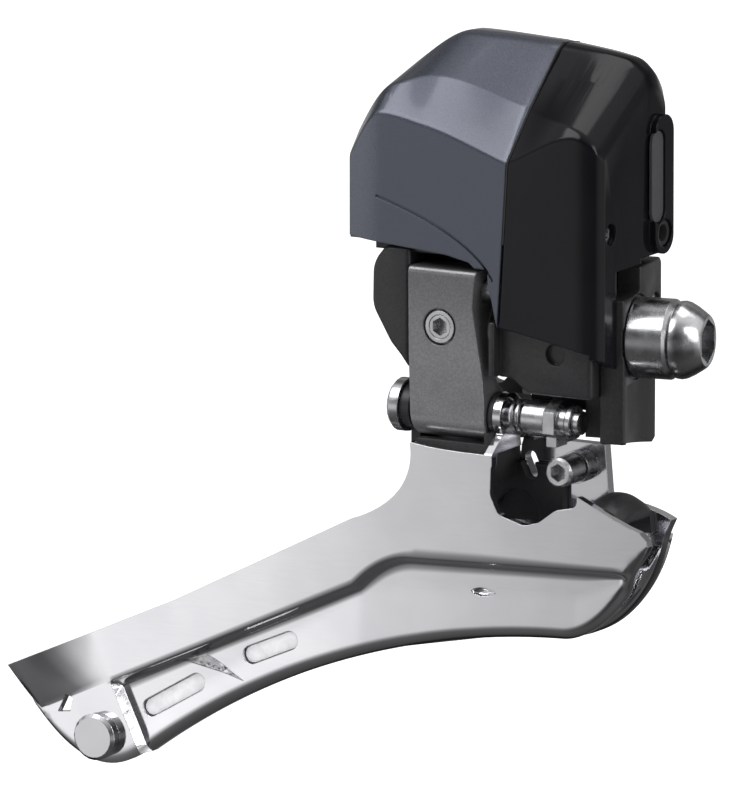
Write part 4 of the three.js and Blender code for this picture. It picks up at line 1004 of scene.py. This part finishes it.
def outer_link():
    (uy, uz), (ly, lz), hub = OUTER_UPPER, OUTER_LOWER, HUB_RADIUS
    corner = (uy - hub + LINK_CORNER, LINK_TOP - LINK_CORNER)
    waist = uy - 0.4
    section = arc(corner, LINK_CORNER, 180, 90, 12)
    section += arc(OUTER_UPPER, hub, math.degrees(math.asin((LINK_TOP - uz) / hub)), 0, 24)
    section += points_on(bezier((uy + hub - 0.2, uz - 1.4), (uy + 0.3, uz - 3.4), (waist, uz - 5.4)), 8)
    section += points_on(bezier((waist, lz + 5.4), (ly + 0.3, lz + 3.4), (ly + hub - 0.2, lz + 1.4)), 8)
    section += arc(OUTER_LOWER, hub, 0, -180, 40)
    face = [
        (LINK_BACK, 9),
        (LINK_FRONT - 1.2, 9),
        (LINK_FRONT - 1.7, 3.5),
        (LINK_FRONT - 0.2, -5.5),
        (LINK_FRONT, -8),
        (LINK_FRONT, -14),
        (LINK_BACK + 0.4, -14),
        (LINK_BACK + 0.1, -3),
    ]
    made = prism_x(section, LINK_BACK - 1, LINK_FRONT + 1)
    common(made, prism_y(rounded(face, [0, 0, 4, 8, 4, 0, 0, 6], 8), -13, 0))
    outer = uy - hub
    cut(
        made,
        rod_x(SHAFT_RADIUS + CLEARANCE, -40, 0, OUTER_UPPER),
        rod_x(PIN_RADIUS + RUNNING, -40, 0, OUTER_LOWER),
        rod_y(LINK_RING_HOLE, outer - 1, outer + 0.9, LINK_SCREW),
        rod_y(LINK_SCREW_HOLE, outer - 1, outer + 6, LINK_SCREW),
    )
    return stands_for(made, "outer_link", "outer_link_body", "link_paint")


# ---------------------------------------------------------------- black castings

BRACKET_SCREWS = ((6.9, 2.6), (6.9, -3.2))
BRACKET_SCREW_SEAT = [(0, -4), (1.1, -4), (1.1, -1.6), (1.9, -1.2), (1.9, 1), (0, 1)]
CLAMP_AXIS = (0, 0)
BOSS_RADIUS = 3.9
CLAMP_HOLE = 2.55
WASHER_RECESS = 5.4
TUBE_RADIUS = 17
TUBE_AXIS = (15.2, 3.4)
TUBE_TOP = -5.6
EAR_BACK = -15.7
LOBE_FRONT = -27.5
DECK_Z = 11.2
BUSH_HOLE = 2.15


def base_body():
    lobe_top = DECK_Z - 0.9
    lobe = [(LOBE_FRONT, lobe_top), (-31, lobe_top), (-32.9, 8), (-33, 2.4)]
    lobe += [(-30.4, -2), (-28.9, -3.6), (LOBE_FRONT, -5.4)]
    rear = beveled(prism_y(rounded_at(lobe, {1: 1.6, 2: 4, 3: 4, 4: 4, 5: 3}), -9.4, 5.4), 0.6, 60)
    ear = [(EAR_BACK, DECK_Z), (-2, DECK_Z), (-2, -7), (-11, -7), (-13.6, -5.2), (EAR_BACK, -5.2)]
    front = beveled(prism_y(rounded_at(ear, {3: 1.5, 4: 1.5, 5: 0.8}), -8.4, 6), 0.5)
    wall = block(LOBE_FRONT - 1, EAR_BACK + 1, -3.4, -1.4, 2.3, DECK_Z)
    deck = block(-33, -2, -8.2, 6.1, DECK_Z - 1.6, DECK_Z + 0.4)
    shaft_boss = rod_x(2.4, EAR_BACK, -13, OUTER_UPPER)
    flange = block(-13, -2, -3.9, -1.9, -9.2, -6)
    ear_edge = beveled(block(EAR_BACK, -14.9, -10.2, -8.3, -5, 2), 0.2)
    foot = turned_block(-5.5, 0, -3.9, 4.5, -12.4, -6)
    made = join(rear, front, wall, deck, shaft_boss, flange, ear_edge, foot)
    gear_well = block(-13, -8.4, -10, 6, -3, DECK_Z + 3)
    front_room = block(-8.4, -5.6, -7.2, 4, -5.6, DECK_Z + 3)
    boss_pocket = rod_x(BOSS_RADIUS + 0.1, -7.2, 0, CLAMP_AXIS)
    boss_pocket.data.transform(MOUNT_TURN)
    cut(
        made,
        gear_well,
        front_room,
        rod_x(BUSH_HOLE, -31.9, LOBE_FRONT + 1, OUTER_UPPER),
        rod_x(BUSH_HOLE, EAR_BACK - 1, -12, OUTER_UPPER),
        rod_x(PIN_RADIUS + CLEARANCE, -32, -11, INNER_UPPER),
        turned_block(-BRACKET_THICKNESS - CLEARANCE, 20, -30, 30, -30, 9),
        boss_pocket,
    )
    screw_post = block(-7, -1.7, -8.3, -5.4, DECK_Z - 0.5, 15.8)
    well_cover = block(-13.1, -8.3, -8.4, -7.4, -3.1, 2.6)
    join(made, screw_post, well_cover)
    cut(
        made,
        rod_x(FRONT_SCREW_HOLE, -6, 0, FRONT_SCREW),
        rod_x(BUSH_HOLE, EAR_BACK - 1, -12, OUTER_UPPER),
        rod_y(1.4, -12, -7.7, BLIND_HOLE),
    )
    return stands_for(made, "base_body", "unit", "satin_black")


def mount_bracket():
    outline = [(-5.2, -12.9), (8.5, -15), (9.1, -14.4), (9.2, 8), (8.6, 8.7)]
    outline += [(1.2, 8.7), (1.2, 5.4), (-5.2, 5.4)]
    made = prism_x(rounded_at(outline, {0: 0.3, 1: 0.3, 2: 0.3, 6: 0.4}), -BRACKET_THICKNESS, 0)
    beveled(made, 0.25, 35, 3)
    join(made, rod_x(BOSS_RADIUS, -BRACKET_THICKNESS - 3.4, -1, CLAMP_AXIS))
    tube = [(0, -16), (TUBE_RADIUS, -16), (TUBE_RADIUS, TUBE_TOP), (0, TUBE_TOP)]
    cut(
        made,
        turned(tube, "z", (*TUBE_AXIS, 0), 128),
        rod_x(WASHER_RECESS, -0.25, 1, CLAMP_AXIS),
        rod_x(CLAMP_HOLE, -9, 1, CLAMP_AXIS),
        *[turned(BRACKET_SCREW_SEAT, "x", (0, *at)) for at in BRACKET_SCREWS],
    )
    made.data.transform(MOUNT_TURN)
    return stands_for(made, "mount_bracket", "unit", "satin_black")


def arch(x, foot, half, top):
    """The outline of an opening with a round top."""
    return [(x + half, foot)] + arc((x, top - half), half, 0, 180, 40) + [(x - half, foot)]


def cage_block():
    """Two ears for the lower pivots, joined by a web, a floor and a side that lies on the inner plate."""
    outboard, inboard = CAGE_OUTER_Y + PLATE_THICKNESS + CLEARANCE, INNER_PLATE_Y - CLEARANCE
    low = -18.6
    thickness = 1.35
    rear, front = (LINK_BACK - 1.6, LINK_BACK - 0.25), (LINK_FRONT + 0.25, LINK_FRONT + 0.9)
    outline = dogbone(OUTER_LOWER, EAR_RADIUS, INNER_LOWER, 2.6, 24)
    ears = []
    for (x0, x1), start in ((rear, -6.8), (front, outboard)):
        ears.append(join(prism_x(outline, x0, x1), block(x0, x1, start, inboard, low, -12)))
    web = block(-25.6, front[1], outboard, outboard + thickness, low, -13.5)
    plan = [(-25.6, outboard), (front[1], outboard), (front[1], inboard), (rear[0], inboard), (rear[0], -6)]
    side = block(rear[0], front[1], inboard - thickness, inboard, low, -14)
    apron = cut(
        beveled(block(-19.4, -8.35, inboard - 1.25, inboard, -24.2, -16.6), 0.4),
        rod_y(3.3, -8, 0, LIMIT_SCREW),
        prism_y(arch(-15, -25, 3.1, -20.2), inboard - 2, inboard - 0.6),
    )
    made = join(ears[0], ears[1], web, prism_z(plan, low, -17), side, apron)
    cut(
        made,
        rod_x(PIN_RADIUS + CLEARANCE, -40, 0, OUTER_LOWER),
        rod_x(PIN_RADIUS + CLEARANCE, -40, 0, INNER_LOWER),
        prism_y(slot(INNER_SLOT, INNER_SLOT_RADIUS + 0.1), inboard - 2, 0),
        *[rod_y(INNER_RIVET_HOLE, INNER_PLATE_Y - 1, 0, at) for at in INNER_RIVETS],
    )
    return stands_for(made, "cage_block", "cage", "satin_black")


def cage_bridge():
    """A hood across the chain at the nose. Its crown sinks towards both plates."""
    y0, y1 = CAGE_OUTER_Y + PLATE_THICKNESS + CLEARANCE, INNER_PLATE_Y - CLEARANCE
    low, sag = -24, 1.2
    crown = [(-1.2, -19.2), (0, -18.65), (1.4, -18.7), (2.8, -19.4), (3.9, -20.5), (4.1, low)]
    ceiling = [(x, z - 1.3) for x, z in crown[1:5]]
    lowered = [(-3, -20.8)] + ceiling + [(6, -22.6), (6, -30), (-3, -30)]
    outline = rounded_at(crown + [(-1.2, low)], {0: 0.4, 1: 2, 2: 2, 3: 2, 4: 1})
    sections = []
    for k in range(33):
        drop = sag * (k / 16 - 1) ** 2
        sections.append([(x, mix(y0, y1, k / 32), z - drop * smoothstep((z - low) / 3)) for x, z in outline])
    made = skin(sections)
    if sum(face.center.x * face.normal.x * face.area for face in made.data.polygons) < 0:
        made.data.flip_normals()
    cut(made, prism_y(lowered, y0 + 1.15, y1 - 1.05))
    # The bridge is steel; its satin black is a painted reflection that stands for the dark surroundings
    # mirrored in it.
    return stands_for(made, "cage_bridge", "cage", "satin_black")


# ---------------------------------------------------------------- build


def round_off(made):
    """Joins the split corners of a CAD mesh and shades it smooth, except over sharp edges."""
    modifier = made.modifiers.new("shade", "NODES")
    modifier.node_group = SHADE_GROUP


def shade_group():
    merge_distance = 1e-6
    sharp_degrees = 33
    group = bpy.data.node_groups.new("weld_and_shade", "GeometryNodeTree")
    group.interface.new_socket("Geometry", in_out="INPUT", socket_type="NodeSocketGeometry")
    group.interface.new_socket("Geometry", in_out="OUTPUT", socket_type="NodeSocketGeometry")
    add = group.nodes.new
    start, end = add("NodeGroupInput"), add("NodeGroupOutput")
    merge = add("GeometryNodeMergeByDistance")
    merge.inputs["Distance"].default_value = merge_distance
    angle = add("GeometryNodeInputMeshEdgeAngle")
    compare = add("FunctionNodeCompare")
    compare.operation = "LESS_EQUAL"
    compare.inputs[1].default_value = math.radians(sharp_degrees)
    faces = add("GeometryNodeSetShadeSmooth")
    edges = add("GeometryNodeSetShadeSmooth")
    edges.domain = "EDGE"
    link = group.links.new
    link(start.outputs[0], merge.inputs[0])
    link(merge.outputs[0], faces.inputs["Geometry"])
    link(faces.outputs[0], edges.inputs["Geometry"])
    link(angle.outputs["Unsigned Angle"], compare.inputs[0])
    link(compare.outputs[0], edges.inputs["Shade Smooth"])
    link(edges.outputs[0], end.inputs[0])
    return group


SHADE_GROUP = shade_group()
for name, made in frame["nodes"].items():
    dress(made, SLOT_OF[name])
    round_off(made)

outer_plate()
inner_plate()
shell = shell_solid()
motor_cover(shell)
front_housing(shell)
outer_link()
base_body()
mount_bracket()
cage_block()
cage_bridge()

# ---------------------------------------------------------------- studio

VIEW_AZIMUTH = 30
VIEW_ELEVATION = 11
VIEW_CENTRE = (-33.75, -7.9)
VIEW_WIDTH = 100
CAMERA_DISTANCE = 2500.0
SENSOR_WIDTH = 36
FLOOR_Z = -250.0
FLOOR_HALF = 9000
WORLD_STRENGTH = 1.35
# Brightness from straight down (0) up to straight up (1).
WORLD_BY_HEIGHT = [(0.0, 0.05), (0.16, 0.08), (0.28, 0.14), (0.34, 0.34), (0.405, 0.85), (0.49, 1.0)]
WORLD_BY_HEIGHT += [(0.56, 0.5), (0.64, 0.25), (0.76, 0.6), (1.0, 0.7)]
# Brightness from the far side (0) round to the side behind the camera (1).
WORLD_BY_SIDE = [(0.0, 0.4), (0.12, 0.35), (0.2, 0.15), (0.3, 0.15), (0.42, 0.9), (0.6, 1.0), (0.66, 0.95)]
WORLD_BY_SIDE += [(0.725, 0.84), (0.78, 0.6), (0.865, 0.4), (0.925, 0.17), (0.975, 0.08)]
TOWARDS_CAMERA = (0.42, -0.9, 0.05)


def floor():
    corners = [(-1, -1), (1, -1), (1, 1), (-1, 1)]
    vertices = [(FLOOR_HALF * x, FLOOR_HALF * y, FLOOR_Z) for x, y in corners]
    made = mesh_object("floor", vertices, [(0, 1, 2, 3)])
    look = Look("floor", (0.86, 0.86, 0.865), 0.0, 0.9)
    look.vary_color(look.noise(3, 2.0), (0.85, 0.85, 0.855))
    look.surface.inputs["Emission Color"].default_value = (1, 1, 1, 1)
    look.surface.inputs["Emission Strength"].default_value = 0.8
    made.data.materials.append(look.material)
    made.visible_glossy = False


def softbox(name, at, toward, size, power):
    light = bpy.data.lights.new(name, "AREA")
    light.shape = "RECTANGLE"
    light.size, light.size_y = size[0] * MM, size[1] * MM
    light.energy = power
    made = bpy.data.objects.new(name, light)
    bpy.context.scene.collection.objects.link(made)
    place, aim = Vector(at) * MM, Vector(toward) * MM
    made.location = place
    made.rotation_euler = (aim - place).to_track_quat("-Z", "Y").to_euler()


def world():
    """A soft tent of light: bright at the horizon and to the sides, darker behind the camera."""
    made = bpy.data.worlds.new("studio")
    bpy.context.scene.world = made
    made.use_nodes = True
    tree = made.node_tree
    tree.nodes.clear()

    def add(kind):
        return tree.nodes.new(kind)

    def ramp(value, stops):
        node = add("ShaderNodeValToRGB")
        elements = node.color_ramp.elements
        elements[0].position, elements[0].color = stops[0][0], (stops[0][1],) * 3 + (1,)
        elements[1].position, elements[1].color = stops[-1][0], (stops[-1][1],) * 3 + (1,)
        for position, brightness in stops[1:-1]:
            elements.new(position).color = (brightness,) * 3 + (1,)
        tree.links.new(value, node.inputs["Fac"])
        return node.outputs["Color"]

    out, back, place = add("ShaderNodeOutputWorld"), add("ShaderNodeBackground"), add("ShaderNodeTexCoord")
    split = add("ShaderNodeSeparateXYZ")
    tree.links.new(place.outputs["Generated"], split.inputs[0])
    height = add("ShaderNodeMapRange")
    height.inputs["From Min"].default_value = -1
    tree.links.new(split.outputs["Z"], height.inputs["Value"])
    by_height = ramp(height.outputs["Result"], WORLD_BY_HEIGHT)
    toward = add("ShaderNodeVectorMath")
    toward.operation = "DOT_PRODUCT"
    toward.inputs[1].default_value = TOWARDS_CAMERA
    tree.links.new(place.outputs["Generated"], toward.inputs[0])
    side = add("ShaderNodeMapRange")
    side.inputs["From Min"].default_value = -1
    tree.links.new(toward.outputs["Value"], side.inputs["Value"])
    by_side = ramp(side.outputs["Result"], WORLD_BY_SIDE)
    both = add("ShaderNodeMix")
    both.data_type = "RGBA"
    both.blend_type = "MULTIPLY"
    both.inputs["Factor"].default_value = 1
    tree.links.new(by_height, both.inputs["A"])
    tree.links.new(by_side, both.inputs["B"])
    tree.links.new(both.outputs["Result"], back.inputs["Color"])
    back.inputs["Strength"].default_value = WORLD_STRENGTH
    tree.links.new(back.outputs[0], out.inputs[0])


def camera():
    azimuth, elevation = math.radians(VIEW_AZIMUTH), math.radians(VIEW_ELEVATION)
    right = Vector((math.cos(azimuth), math.sin(azimuth), 0))
    aside = math.cos(elevation)
    back = Vector((math.sin(azimuth) * aside, -math.cos(azimuth) * aside, math.sin(elevation)))
    up = back.cross(right)
    centre = VIEW_CENTRE[0] * right + VIEW_CENTRE[1] * up
    data = bpy.data.cameras.new("camera")
    data.sensor_width = SENSOR_WIDTH
    data.lens = SENSOR_WIDTH * CAMERA_DISTANCE / VIEW_WIDTH
    data.clip_start, data.clip_end = 0.01, 60
    made = bpy.data.objects.new("camera", data)
    bpy.context.scene.collection.objects.link(made)
    turn = Matrix((right, up, back)).transposed().to_4x4()
    made.matrix_world = Matrix.Translation((centre + CAMERA_DISTANCE * back) * MM) @ turn
    bpy.context.scene.camera = made


floor()
world()
camera()
softbox("key", (-350, -500, 650), (-30, 0, 0), (600, 500), 3.2)
softbox("right", (650, -250, 300), (-10, 0, 0), (250, 500), 1.6)
softbox("top", (0, 200, 800), (-20, 0, 0), (600, 400), 1.5)
bpy.context.scene.view_settings.view_transform = "Standard"
